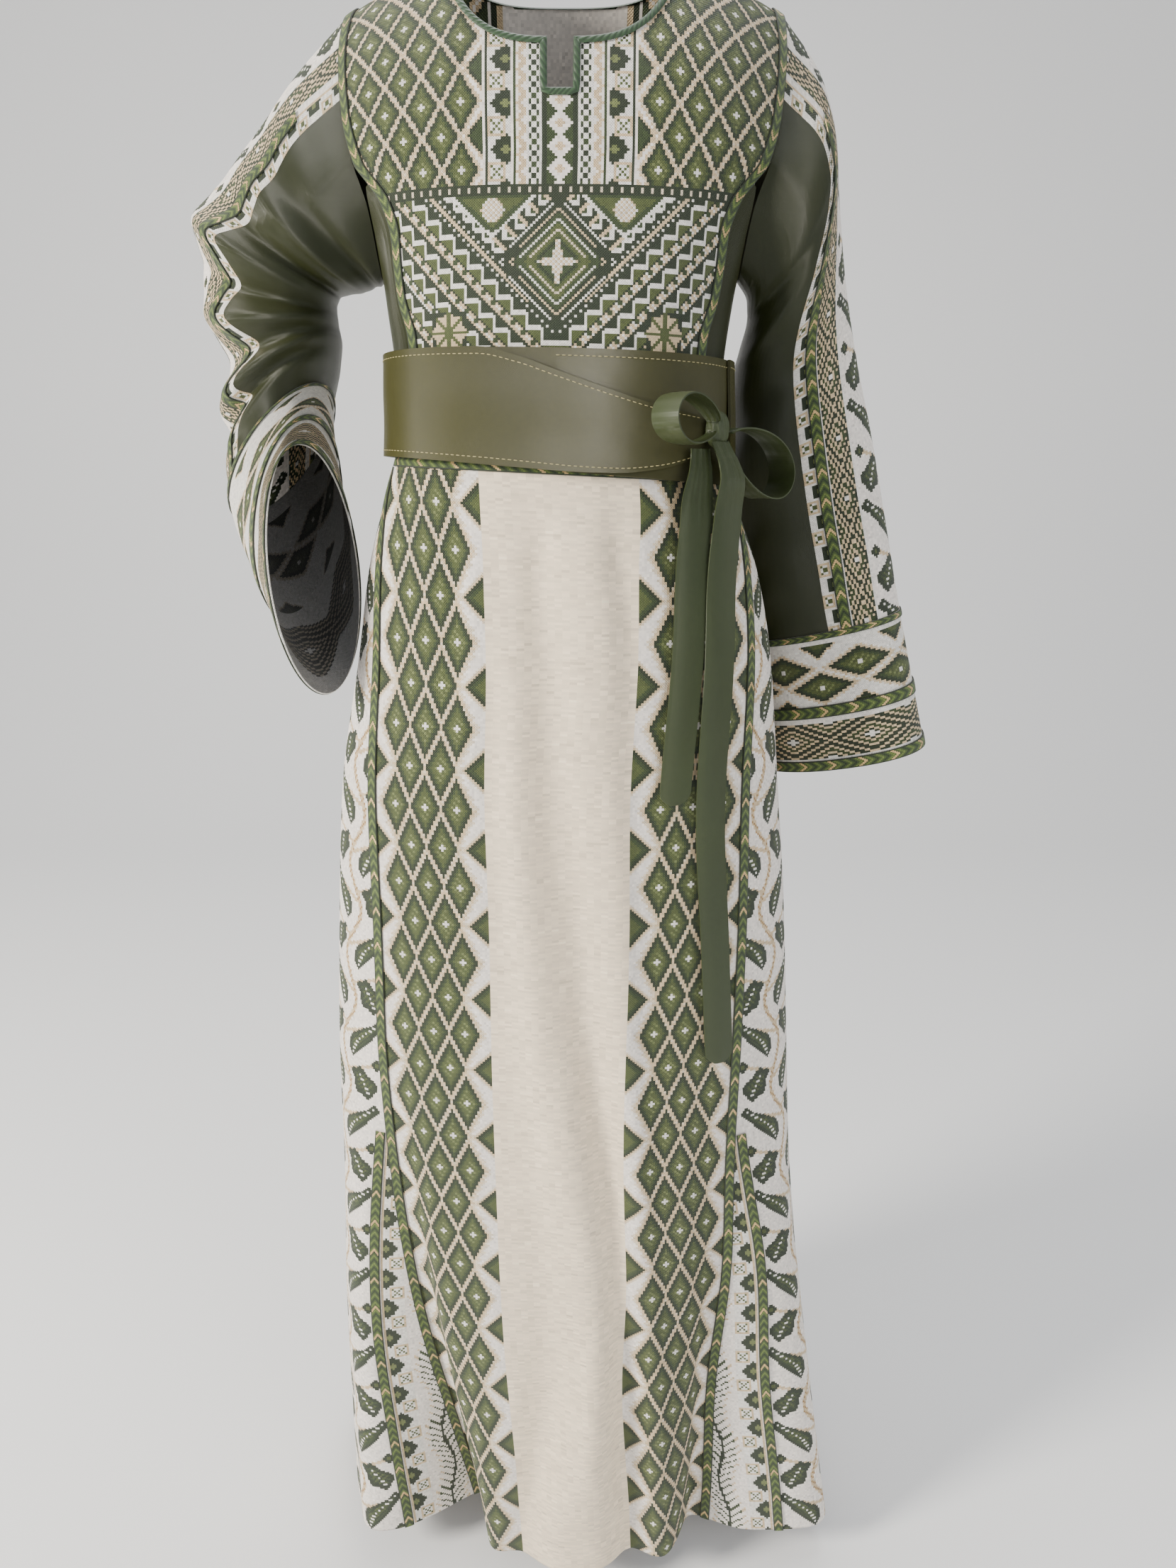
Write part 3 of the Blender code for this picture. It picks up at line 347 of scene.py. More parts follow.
def skirt_shape(z, angle):
    """The skirt's outside at a height, with its folds."""
    side = [SKIRT.at(name, z) for name in SKIRT.columns[1:]]
    x, y = outline(angle, *side)
    middle_x = (side[0] + side[1]) / 2
    middle_y = (side[2] + side[3]) / 2
    away = np.stack([x - middle_x, (y - middle_y) * 1.6], -1)
    away /= np.linalg.norm(away, axis=-1, keepdims=True)
    for z_top, angle_top, z_end, angle_end, width, depth_top, depth_end in FOLDS:
        f = np.clip((z - z_top) / (z_end - z_top), 0, 1)
        if z < z_end or z > z_top:
            f = 0 if z > z_top else 1
        depth = depth_top * (1 - ease(f, 0, 1)) + depth_end * f ** 1.4
        depth *= ease(z, FOLDS_FROM, FOLDS_FROM - 0.07)
        bump = depth * np.exp(-(around(angle, angle_top + (angle_end - angle_top) * f) / width) ** 2)
        x = x + away[:, 0] * bump
        y = y + away[:, 1] * bump
    tilt = waist_tilt(x, ease(z, -0.60, -0.41))
    return np.stack([x, y, z + tilt], -1)


# The plain middle's soft folds, which the cloth takes when it hangs: from the sash slanting down, and
# back in from the right above the hem. The columns are those of FOLDS.
SOFT_FOLDS = [
    (-0.40, -15, -1.15, 3, 4.0, 0.005, 0.011),
    (-0.42, -6, -1.10, 9, 3.6, -0.004, -0.010),
    (-0.50, 9, -1.35, 15, 4.0, 0.004, 0.008),
    (-0.95, 16, -1.50, -2, 4.0, 0.000, 0.011),
    (-1.05, 6, -1.55, -10, 3.6, 0.000, -0.009),
    (-1.10, -14, -1.55, -17, 3.5, 0.000, 0.005),
    (-0.60, -31, -1.40, -27, 5.0, 0.000, 0.004),
    (-0.60, 33, -1.40, 30, 5.0, 0.000, -0.004),
]
FOLDS += SOFT_FOLDS


def run_along(line):
    """How far along a line of points each of them lies."""
    return np.concatenate([[0], np.cumsum(np.linalg.norm(np.diff(line, axis=0), axis=-1))])


class Shape:
    """Gives points by station and distance round, measured from angle 0, and moved out."""

    def __init__(self, shape, step):
        self.shape = shape
        self.step = step
        self.angles = np.linspace(-math.pi, math.pi, SAMPLES + 1)
        self.rows = {}

    def row(self, station):
        """The section at a station: distances round it, its points and the ways out of it."""
        key = round(float(station), 7)
        if key not in self.rows:
            ring = self.shape(station, self.angles)
            ring[-1] = ring[0]
            ahead = self.shape(station + self.step, self.angles)
            behind = self.shape(station - self.step, self.angles)
            along = ahead - behind
            round_it = np.roll(ring[:-1], -1, 0) - np.roll(ring[:-1], 1, 0)
            round_it = np.vstack([round_it, round_it[:1]])
            normal = np.cross(along, round_it)
            normal /= np.linalg.norm(normal, axis=-1, keepdims=True)
            if np.sum(normal * (ring - ring.mean(0))) < 0:
                normal = -normal
            arc = run_along(ring)
            self.rows[key] = (arc - arc[SAMPLES // 2], ring, normal)
        return self.rows[key]

    def girth(self, station):
        """The length all the way round."""
        arc = self.row(station)[0]
        return arc[-1] - arc[0]

    def distance(self, station, angle):
        """How far round the point at an angle lies."""
        return float(np.interp(angle, self.angles, self.row(station)[0]))

    def place(self, station, distances, out=0.0):
        """Points at distances round a section, moved out of the shape."""
        arc, ring, normal = self.row(station)
        girth = arc[-1] - arc[0]
        wrapped = (np.asarray(distances, float) - arc[0]) % girth + arc[0]
        points = np.stack([np.interp(wrapped, arc, ring[:, k]) for k in range(3)], -1)
        lifts = np.stack([np.interp(wrapped, arc, normal[:, k]) for k in range(3)], -1)
        return points + lifts * np.asarray(out)[..., None]


SKIRT_SHAPE = Shape(skirt_shape, -0.001)

# Threads and cloth as they look, and whether a stitch covers the cloth there.
THREADS = {
    "linen": ("FBE8CB", 0),
    "ground": ("F3EBE1", 0),
    "white": ("F1EDE4", 1),
    "beige": ("E2D2B8", 1),
    "gold": ("D6BE97", 1),
    "ochre": ("A98450", 1),
    "dark": ("232E17", 1),
    "green": ("33411F", 1),
    "olive": ("4C5629", 1),
    "light": ("6F7846", 1),
}
THREAD_NAMES = list(THREADS)


def linear(code):
    """Linear red, green and blue of a colour written as six hexadecimal digits."""
    parts = np.array([int(code[k:k + 2], 16) / 255 for k in (0, 2, 4)])
    return np.where(parts <= 0.04045, parts / 12.92, ((parts + 0.055) / 1.055) ** 2.4)


THREAD_COLOURS = np.array([[*linear(code), sewn] for code, sewn in THREADS.values()])


class Chart:
    """A stitch chart, painted thread by thread: x counts stitches across it, y counts them down."""

    def __init__(self, down, across, ground):
        self.x, self.y = np.meshgrid(np.asarray(across, float), np.asarray(down, float))
        self.cells = np.full(self.x.shape, THREAD_NAMES.index(ground))

    def paint(self, where, thread):
        self.cells = np.where(where, THREAD_NAMES.index(thread), self.cells)

    def near(self, x, y, every_x=None, every_y=None):
        """How far each stitch is from a motif's middle, or from the nearest of its repeats."""
        dx, dy = self.x - x, self.y - y
        if every_x:
            dx = (dx + every_x / 2) % every_x - every_x / 2
        if every_y:
            dy = (dy + every_y / 2) % every_y - every_y / 2
        return dx, dy

    def colours(self, seed, worn=1.0):
        """The colour of each stitch, a little uneven as hand-dyed thread is. The share after the seed scales every
        colour down as painted shade, and 1 leaves it as it is.
        """
        uneven = 1 + 0.08 * np.random.default_rng(seed).standard_normal(self.cells.shape)
        found = THREAD_COLOURS[self.cells].copy()
        # Painted shade: the share darkens every stitch's colour.
        found[..., :3] *= (worn * np.clip(uneven, 0.75, 1.25))[..., None]
        return found


def model(name, points, faces, finish, turned_out=False):
    """A piece from its points and faces, smooth all over; the faces of a closed one are turned out."""
    mesh = bpy.data.meshes.new(name)
    mesh.from_pydata(points, [], faces)
    if turned_out:
        shape = bmesh.new()
        shape.from_mesh(mesh)
        bmesh.ops.recalc_face_normals(shape, faces=shape.faces[:])
        shape.to_mesh(mesh)
        shape.free()
    mesh.shade_smooth()
    mesh.materials.append(finish)
    piece = bpy.data.objects.new(name, mesh)
    bpy.context.scene.collection.objects.link(piece)
    return piece


def lay_grid(name, points, colours, across, down, finish, keep=None, closed=False, flip=False):
    """A cloth over a grid of points with a face for every stitch. across and down count the stitches
    at its lines; keep says which faces are there; a closed grid joins its last row and column to
    its first, as on a tube of two layers."""
    rows, columns = points.shape[:2]
    i, j = np.meshgrid(np.arange(rows - 1 + closed), np.arange(columns - 1 + closed), indexing="ij")
    chosen = np.ones(i.shape, bool) if keep is None else keep
    i, j = i[chosen], j[chosen]
    corner_i = np.stack([i, i + 1, i + 1, i], -1)
    corner_j = np.stack([j, j, j + 1, j + 1], -1)
    if flip:
        corner_i, corner_j = corner_i[:, ::-1], corner_j[:, ::-1]
    corners = corner_i % rows * columns + corner_j % columns
    used, faces = np.unique(corners, return_inverse=True)
    piece = model(name, points.reshape(-1, 3)[used].tolist(), faces.reshape(-1, 4).tolist(), finish)
    mesh = piece.data
    thread = mesh.color_attributes.new("thread", "FLOAT_COLOR", "CORNER")
    thread.data.foreach_set("color", np.repeat(colours[i, j], 4, axis=0).ravel())
    stitch = mesh.uv_layers.new(name="stitch")
    stitch.data.foreach_set("uv", np.stack([across[corner_j], down[corner_i]], -1).ravel())
    baked = mesh.uv_layers.new(name="OFBake")
    spread_u = 0.004 + 0.992 * corner_j / (columns - 1 + closed)
    spread_v = 0.004 + 0.992 * corner_i / (rows - 1 + closed)
    baked.data.foreach_set("uv", np.stack([spread_u, spread_v], -1).ravel())
    return piece


def dress(piece, node, slot):
    """The piece stands for its node, moves with the dress and takes its finish from a slot."""
    piece.name = node + "_sewn"
    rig.ride(piece, "root")
    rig.replaces(piece, node)
    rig.slot(piece, slot)
    return piece


def faces_in(points, i, j, raised):
    """Whether a grid's faces look away from the way out at one of its points."""
    facing = np.cross(points[i + 1, j] - points[i, j], points[i, j + 1] - points[i, j])
    return bool(np.dot(facing, raised) < 0)


def sew(name, place, rows, columns, chart_colours, across, down, finish, slot, **how):
    """Lays a cloth on a shape. rows holds the station of each line of stitches and how far out it
    lies; columns gives the distances round at a station; place gives the points."""
    points = np.array([place(station, columns(station), out) for station, out in rows])
    i, j = len(rows) // 3, points.shape[1] // 2
    station, out = rows[i]
    raised = place(station, columns(station), out + 0.001)[j] - points[i, j]
    flip = faces_in(points, i, j, raised)
    piece = lay_grid(name, points, chart_colours, across, down, finish, flip=flip, **how)
    return dress(piece, name, slot)


class Value:
    """One output of a material's nodes. Arithmetic on it adds a node, and node() adds any other."""

    def __init__(self, tree, socket=None):
        self.tree = tree
        self.socket = socket

    def node(self, kind, settings=None, inputs=None, out=0):
        """A new node: its settings first, then values or links for its sockets."""
        made = self.tree.nodes.new("ShaderNode" + kind)
        for name, value in (settings or {}).items():
            setattr(made, name, value)
        for name, value in (inputs or {}).items():
            self.join(made.inputs[name], value)
        return Value(self.tree, made.outputs[out])

    def join(self, socket, value):
        """Links a value to a socket, or sets a plain number or colour there."""
        if isinstance(value, Value):
            self.tree.links.new(value.socket, socket)
        else:
            socket.default_value = value

    def reckon(self, operation, *terms):
        """A Math node, or a Vector Math node where a term is a colour or a vector."""
        wide = any(isinstance(term, tuple) or isinstance(term, Value) and term.socket.type != "VALUE"
                   for term in terms)
        if wide:
            terms = [term if isinstance(term, (Value, tuple)) else (term,) * 3 for term in terms]
        kind = "VectorMath" if wide else "Math"
        return self.node(kind, {"operation": operation}, dict(enumerate(terms)))

    def __add__(self, other):
        return self.reckon("ADD", self, other)

    def __radd__(self, other):
        return self.reckon("ADD", other, self)

    def __sub__(self, other):
        return self.reckon("SUBTRACT", self, other)

    def __rsub__(self, other):
        return self.reckon("SUBTRACT", other, self)

    def __mul__(self, other):
        return self.reckon("MULTIPLY", self, other)

    def __rmul__(self, other):
        return self.reckon("MULTIPLY", other, self)

    def __truediv__(self, other):
        return self.reckon("DIVIDE", self, other)

    def __rtruediv__(self, other):
        return self.reckon("DIVIDE", other, self)

    def part(self, axis):
        return self.node("SeparateXYZ", inputs={0: self}, out=axis)

    def mix(self, other, share):
        """This colour or value where share is 0, the other where it is 1."""
        if self.socket.type == "VALUE":
            return self + (other - self) * share
        return self.node("Mix", {"data_type": "RGBA"}, {0: share, 6: self, 7: other}, 2)

    def noise(self, scale, detail=2.0, stretch=(1, 1, 1)):
        """Soft noise from 0 to 1, at so many swells to the metre."""
        place = self.node("TexCoord", out="Object") * stretch
        return self.node("TexNoise", inputs={"Vector": place, "Scale": scale, "Detail": detail})

    def bump(self, height, distance, under=None):
        """A relief of a height, on top of another one where under is given."""
        inputs = {"Height": height, "Distance": distance, "Strength": 1.0}
        if under is not None:
            inputs["Normal"] = under
        return self.node("Bump", inputs=inputs)


def new_material(name):
    """A new material, its shader, and a value to start its nodes from."""
    made = bpy.data.materials.new(name)
    made.use_nodes = True
    return made, made.node_tree.nodes["Principled BSDF"], Value(made.node_tree)


def stitched_linen():
    """Linen in a plain weave, and crossed stitches of slightly shiny cotton where thread covers it."""
    made, shader, nodes = new_material("stitched_linen")
    thread = nodes.node("Attribute", {"attribute_name": "thread"}, out="Color")
    sewn = nodes.node("Attribute", {"attribute_name": "thread"}, out="Alpha")
    place = nodes.node("UVMap", {"uv_map": "stitch"})
    across = nodes.reckon("FRACT", place.part("X")) - 0.5
    down = nodes.reckon("FRACT", place.part("Y")) - 0.5
    falling = nodes.reckon("ABSOLUTE", across - down)
    rising = nodes.reckon("ABSOLUTE", across + down)
    crossed = nodes.reckon("MAXIMUM", 0.0, 1 - nodes.reckon("MINIMUM", falling, rising) * 2.6)
    warp = nodes.reckon("SINE", place.part("X") * (6 * math.pi))
    weft = nodes.reckon("SINE", place.part("Y") * (6 * math.pi))
    woven = warp * weft * 0.5 + 0.5
    height = (woven * 0.2).mix(crossed, sewn)
    soft = nodes.noise(9, 3)
    flecks = nodes.noise(420, 2)
    shade = 0.90 + 0.10 * soft + (0.04 + 0.12 * sewn) * flecks
    # Painted shade: the colour darkens where the stitch crosses and the weave sink, and is lighter on their raised
    # parts.
    shade = shade * (0.93 + 0.10 * height)
    shader.inputs["Sheen Weight"].default_value = 0.12
    shader.inputs["Sheen Roughness"].default_value = 0.5
    nodes.join(shader.inputs["Base Color"], thread * shade)
    nodes.join(shader.inputs["Roughness"], 0.88 - 0.16 * sewn)
    creased = nodes.bump(nodes.noise(14, 2, (1.0, 1.0, 0.4)), 0.006)
    nodes.join(shader.inputs["Normal"], nodes.bump(height, 0.0005, creased))
    return made


STITCHED = stitched_linen()


def diamonds(chart, dx, dy, inside=True):
    """One set of long diamonds: a dark rim, greens that lighten to the middle, and a white cross."""
    reach = np.abs(dx) + np.abs(dy) / 2
    fleck = (chart.x + 2 * chart.y) % 3 < 1
    chart.paint(inside & (reach <= 6.7), "dark")
    chart.paint(inside & (reach <= 5.2), "green")
    chart.paint(inside & (reach <= 4.2), "olive")
    chart.paint(inside & (reach <= 3.2) & fleck, "light")
    chart.paint(inside & (np.abs(dx) + np.abs(dy) <= 1.2), "white")


def diamond_band(chart, middle):
    """The skirt's band: three diamonds and two by turns in a gold lattice, and a half diamond on
    the band's edge beside each pair."""
    half = DIAMOND_COLUMNS / 2
    three = chart.near(middle, 0.5, DIAMOND_COLUMNS, DIAMOND_ROWS)
    two = chart.near(middle + half, DIAMOND_ROWS / 2 + 0.5, DIAMOND_COLUMNS, DIAMOND_ROWS)
    in_three = np.abs(chart.x - middle) < 1.5 * DIAMOND_COLUMNS
    in_two = np.abs(chart.x - middle) < DIAMOND_COLUMNS
    outer = np.abs(chart.x - middle)
    reach = np.minimum(
        np.abs(outer - DIAMOND_COLUMNS) + np.abs(three[1]) / 2,
        np.abs(outer - half) + np.abs(two[1]) / 2)
    lattice = (in_three & (np.abs(three[0]) + np.abs(three[1]) / 2 <= 8.6)
               | in_two & (np.abs(two[0]) + np.abs(two[1]) / 2 <= 8.6) | (reach <= 9.8))
    tooth = (reach > 8.8) & (outer > half) & ((chart.x + chart.y) % 2 < 1)
    chart.paint(lattice, "gold")
    chart.paint(lattice & ((chart.x * 3 + chart.y * 5) % 7 < 1.5), "beige")
    chart.paint(lattice & (reach > 8.0) & (outer > half), "beige")
    chart.paint(lattice & tooth, "ground")
    diamonds(chart, *three, in_three)
    diamonds(chart, *two, in_two)
    edge = np.abs(outer - BAND_STITCHES / 2)
    beside = np.abs(two[1])
    for limit, thread in ((10.6, "beige"), (9.6, "gold"), (8.4, "dark"), (6.4, "green"), (4.6, "olive")):
        chart.paint(edge + beside <= limit, thread)


def hem_rows(top, pitch):
    """Rows from the waist to the hem, and then the hem's turning up its inside."""
    count = int(round((top - HEM_Z) / pitch)) + 1
    outer = [(z, 0.0) for z in np.linspace(top, HEM_Z, count)]
    turned = [(z, -CLOTH) for z in np.arange(HEM_Z, HEM_Z + HEM_TURN, 3 * pitch)]
    return outer + turned


def front_columns(z):
    """Distances of the front panel's stitches from its centre: small in the bands, wide between."""
    half = FRONT_HALF - SEAM / 2
    band = np.linspace(BARE_HALF, half, BAND_STITCHES + 1)
    bare = np.linspace(-BARE_HALF, BARE_HALF, BARE_STITCHES + 1)
    return np.concatenate([-band[:0:-1], bare, band[1:]])


rows = hem_rows(WAIST_Z - SEAM, ROW_PITCH)
bare_step = 2 * BARE_HALF / BARE_STITCHES / ((FRONT_HALF - BARE_HALF) / BAND_STITCHES)
steps = [1] * BAND_STITCHES + [bare_step] * BARE_STITCHES + [1] * BAND_STITCHES
across = np.concatenate([[0], np.cumsum(steps)])
down = np.arange(len(rows), dtype=float)
left_start = across[-1] - BAND_STITCHES
front = Chart(down[:-1] + 0.5, (across[:-1] + across[1:]) / 2, "ground")
bare = (front.x > BAND_STITCHES) & (front.x < left_start)
left, right = front.x > left_start, front.x < BAND_STITCHES
for side, start in ((right, 0), (left, left_start)):
    band = Chart(down[:-1] + 0.5, front.x[0], "ground")
    diamond_band(band, start + BAND_STITCHES / 2 + 0.5)
    front.cells = np.where(side, band.cells, front.cells)
front.paint(bare, "linen")
skirt_front = sew("skirt_front", SKIRT_SHAPE.place, rows, front_columns, front.colours(1),
                  across, down, STITCHED, "green_embroidery")
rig.sheet(skirt_front, (2 * FRONT_HALF, SKIRT_LENGTH), "hung", rests_on=["belt"])


# Skirt sides: linen gores that widen to the hem, sewn to the front and the back. From the back seam
# forward they carry a strip of leaves on a wandering branch, a star border and a ribbed strip.
SIDE_PITCH = 0.0022
SIDE_HEM = 0.190
STRIP_TOTAL = int(SIDE_HEM / SIDE_PITCH) + 1
STRIP_LEAVES = 46
STRIP_STAR = 11
BRAID_GAP = 5
LEAF_ROWS = 44
SIDES = (("l", 1), ("r", -1))


def side_seams(z):
    """Distances of the two seams of the side panel, from the front centre."""
    return FRONT_HALF, FRONT_HALF + float(SIDE_PANEL.at("width", z))


def leaf_strip(chart, middle, half):
    """Round and long leaves and buds by turns, on both sides of a branch that wanders down."""
    branch = middle + 0.22 * half * np.sin(chart.y * 2 * math.pi / LEAF_ROWS)
    from_branch = chart.x - branch
    chart.paint(np.abs(from_branch) < 1.3, "gold")
    chart.paint((np.abs(from_branch) < 1.3) & ((chart.y + chart.x) % 3 < 1), "ochre")
    for side, start in ((1, 6), (-1, 28)):
        for far, along in ((0.92, 13), (0.90, 33)):
            bud_x, bud_y = chart.near(middle + side * far * half, start + along, every_y=LEAF_ROWS)
            reach = np.abs(bud_x) + np.abs(bud_y)
            inward = (from_branch * side > 0) & (np.abs(chart.x - middle) < far * half)
            chart.paint((np.abs(bud_y - 0.4 * np.abs(bud_x)) < 0.9) & inward, "gold")
            chart.paint(reach <= 3.4, "dark")
            chart.paint(reach <= 1.4, "olive")
        dy = chart.near(0, start, every_y=LEAF_ROWS)[1]
        dx = from_branch - side * 0.46 * half
        jag = 1 + 0.10 * np.cos(5 * np.arctan2(dy, dx))
        size = np.hypot(dx / 7.2, dy / 7.2) / jag
        chart.paint(size <= 1, "dark")
        chart.paint((size <= 0.72) & ((chart.x + 2 * chart.y) % 4 < 2.4), "green")
        chart.paint((size <= 0.58) & ((chart.x + chart.y) % 3 < 1), "olive")
        chart.paint((np.abs(dx - 0.3 * dy) < 0.7) & (size <= 0.75) & (chart.y % 2 < 1), "white")
        dy = chart.near(0, start + LEAF_ROWS / 2, every_y=LEAF_ROWS)[1]
        lean = (from_branch - side * 0.60 * half) * side + dy * 0.45
        size = np.abs(lean) / 6.2 + (dy / 11.0) ** 2
        chart.paint(size <= 1, "dark")
        chart.paint((size <= 0.68) & ((chart.x + chart.y) % 3 < 2), "green")
        chart.paint((size <= 0.45) & ((chart.x + 2 * chart.y) % 4 < 1.6), "olive")
        chart.paint((np.abs(lean) < 0.8) & (size <= 0.85) & (chart.y % 2 < 1), "white")


def star_border(chart, start, width, every):
    """Half stars of dark thread down one side, and gold squares with a cross down the other."""
    inside = (chart.x > start) & (chart.x < start + width)
    chart.paint(inside, "white")
    dx, dy = chart.near(start + width * 0.22, 0, every_y=every)
    reach_x, reach_y = np.abs(dx), np.abs(dy)
    square = np.maximum(reach_x, reach_y) <= width * 0.36
    turned = reach_x + reach_y <= width * 0.52
    chart.paint(inside & (square | turned), "dark")
    chart.paint(inside & (reach_x + reach_y <= width * 0.16), "light")
    dx, dy = chart.near(start + width * 0.66, every / 2, every_y=every)
    edge = np.maximum(np.abs(dx), np.abs(dy))
    chart.paint(inside & (edge <= width * 0.34), "gold")
    chart.paint(inside & (edge <= width * 0.34 - 1), "white")
    chart.paint(inside & (np.abs(np.abs(dx) - np.abs(dy)) < 0.7) & (edge <= width * 0.34 - 1), "olive")
    chart.paint(inside & (np.abs(chart.x - start - 0.5) < 0.6), "gold")


def rib_strip(chart, start, width):
    """A dark spine with slanting ribs, like a fish's bones, that waves a little down the strip."""
    spine = start + width / 2 + 2.2 * np.sin(chart.y * 2 * math.pi / LEAF_ROWS)
    dx = chart.x - spine
    inside = (chart.x > start) & (chart.x < start + width) & (np.abs(dx) < 0.36 * width)
    ribs = (chart.y + np.floor(np.abs(dx) * 0.8)) % 4 < 1
    chart.paint(inside & ribs, "green")
    chart.paint(inside & ribs & (np.abs(dx) > 0.27 * width), "gold")
    chart.paint(inside & (np.abs(dx) < 0.8), "dark")


def side_columns(side):
    """Gives the distances of a side panel's stitches, counted from its back seam forward."""
    def columns(z):
        front_seam, back_seam = side_seams(z)
        inward = np.arange(STRIP_TOTAL + 1) * SIDE_PITCH
        places = np.maximum(back_seam - SEAM / 2 - inward, front_seam + SEAM / 2)
        return side * places
    return columns


side_rows = hem_rows(WAIST_Z - SEAM, SIDE_PITCH)
side_down = np.arange(len(side_rows), dtype=float)
for letter, side in SIDES:
    chart = Chart(side_down[:-1] + 0.5, np.arange(STRIP_TOTAL) + 0.5, "ground")
    leaf_strip(chart, STRIP_LEAVES / 2, STRIP_LEAVES / 2)
    star_border(chart, STRIP_LEAVES + BRAID_GAP, STRIP_STAR, 17)
    ribs_start = STRIP_LEAVES + BRAID_GAP + STRIP_STAR
    rib_strip(chart, ribs_start, STRIP_TOTAL - ribs_start)
    places = np.abs(np.array([side_columns(side)(z) for z, out in side_rows]))
    wide = (places[:, :-1] - places[:, 1:]) > 1e-6
    piece = sew("skirt_side_" + letter, SKIRT_SHAPE.place, side_rows, side_columns(side),
                chart.colours(2 + side), np.arange(STRIP_TOTAL + 1.0), side_down, STITCHED,
                "green_embroidery", keep=wide[:-1] | wide[1:])
    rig.sheet(piece, (SIDE_HEM, SKIRT_LENGTH), "hung", rests_on=["belt"], area=0.137)

# Skirt back: a linen panel made like the front, bare in the middle, with a diamond band and a strip
# of leaves down each side. It is pleated a little into the waist seam.
BACK_PITCH = 0.0031
BACK_BARE = 0.055
BACK_SHARE = 0.86

back_half = max(SKIRT_SHAPE.girth(z) / 2 - side_seams(z)[1] for z in (-0.4, -0.5, -0.7, -1.0, -1.55))
outward = np.concatenate([np.arange(6) * 3 * BACK_PITCH,
                          np.arange(BACK_BARE, back_half + BACK_PITCH, BACK_PITCH)])
BACK_LINES = np.concatenate([-outward[:0:-1], outward])


def back_columns(z):
    """Distances of the back panel's stitches, which stop at its two seams."""
    edge = side_seams(z)[1] + SEAM / 2
    middle = SKIRT_SHAPE.girth(z) / 2
    half = middle - edge
    return middle + np.clip(BACK_LINES, -half, half)


back_rows = hem_rows(WAIST_Z - SEAM, BACK_PITCH)
back_down = np.arange(len(back_rows)) * BACK_PITCH / ROW_PITCH
stitches = BACK_LINES / ROW_PITCH
chart = Chart((back_down[:-1] + back_down[1:]) / 2, (stitches[:-1] + stitches[1:]) / 2, "ground")
bare_edge = BACK_BARE / ROW_PITCH
chart.x = np.abs(chart.x) - bare_edge
diamond_band(chart, BAND_STITCHES / 2)
leaves = Chart(chart.y[:, 0], chart.x[0], "ground")
leaf_strip(leaves, BAND_STITCHES + 26, 22)
chart.cells = np.where(chart.x > BAND_STITCHES, leaves.cells, chart.cells)
chart.paint(chart.x < 0, "linen")
placed = np.array([back_columns(z) for z, out in back_rows])
wide = (placed[:, 1:] - placed[:, :-1]) > 1e-6
skirt_back = sew("skirt_back", SKIRT_SHAPE.place, back_rows, back_columns, chart.colours(4),
                 stitches, back_down, STITCHED, "green_embroidery", keep=wide[:-1] | wide[1:])
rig.sheet(skirt_back, (2 * back_half, SKIRT_LENGTH), "hung", rests_on=["belt"],
         area=BACK_SHARE * 2 * back_half * SKIRT_LENGTH)

# Braid: a woven cotton ribbon with green chevrons and a metal thread at every few, sewn flat over
# the seams of the skirt and round the waist.
BRAID = 0.0012
BRAID_CROWN = 0.0002
LIFT = 0.0005
BRAID_WIDTH = 0.0105
BRAID_LINES = 10
BRAID_STEP = 0.0016
BRAID2_FROM_BACK = 0.106
WAIST_BRAID = (-0.402, -0.4125)
BRAID_THREADS = np.array([[*linear(code), metal] for code, metal in (
    ("1E2A10", 0), ("35481C", 0), ("4C5F25", 0), ("6E8036", 0), ("E0BE84", 1))])


def woven_braid():
    """Cotton chevrons with raised ribs that lean to the middle, and shiny metal thread."""
    made, shader, nodes = new_material("woven_braid")
    thread = nodes.node("Attribute", {"attribute_name": "thread"}, out="Color")
    metal = nodes.node("Attribute", {"attribute_name": "thread"}, out="Alpha")
    place = nodes.node("UVMap", {"uv_map": "stitch"})
    middle = nodes.reckon("ABSOLUTE", place.part("X") - BRAID_LINES / 2)
    ribs = nodes.reckon("SINE", (place.part("Y") - middle) * (2 * math.pi))
    strands = nodes.reckon("SINE", place.part("X") * (4 * math.pi))
    height = 0.5 + 0.32 * ribs + 0.14 * strands
    # Painted shade and highlight: the colour darkens in the hollows between the ribs and strands and lightens on their
    # tops; the noise is random flecks.
    nodes.join(shader.inputs["Base Color"], thread * (0.72 + 0.4 * height + 0.1 * nodes.noise(300)))
    nodes.join(shader.inputs["Metallic"], 0.75 * metal)
    nodes.join(shader.inputs["Roughness"], 0.62 - 0.28 * metal)
    shader.inputs["Sheen Weight"].default_value = 0.15
    nodes.join(shader.inputs["Normal"], nodes.bump(height, 0.0004))
    return made


BRAIDED = woven_braid()


def chevrons(count, every):
    """The threads of a braid's cells: chevrons that point down, in greens from dark to light, and a
    metal one at every so many."""
    y, x = np.meshgrid(np.arange(count), np.arange(BRAID_LINES) + 0.5, indexing="ij")
    lag = y - np.floor(np.abs(x - BRAID_LINES / 2))
    kind = np.array([0, 1, 2, 3, 2, 1])[(lag % 6).astype(int)]
    kind = np.where(lag % every < 2, 4, kind)
    kind = np.where(np.abs(x - BRAID_LINES / 2) > BRAID_LINES / 2 - 1, 0, kind)
    return kind


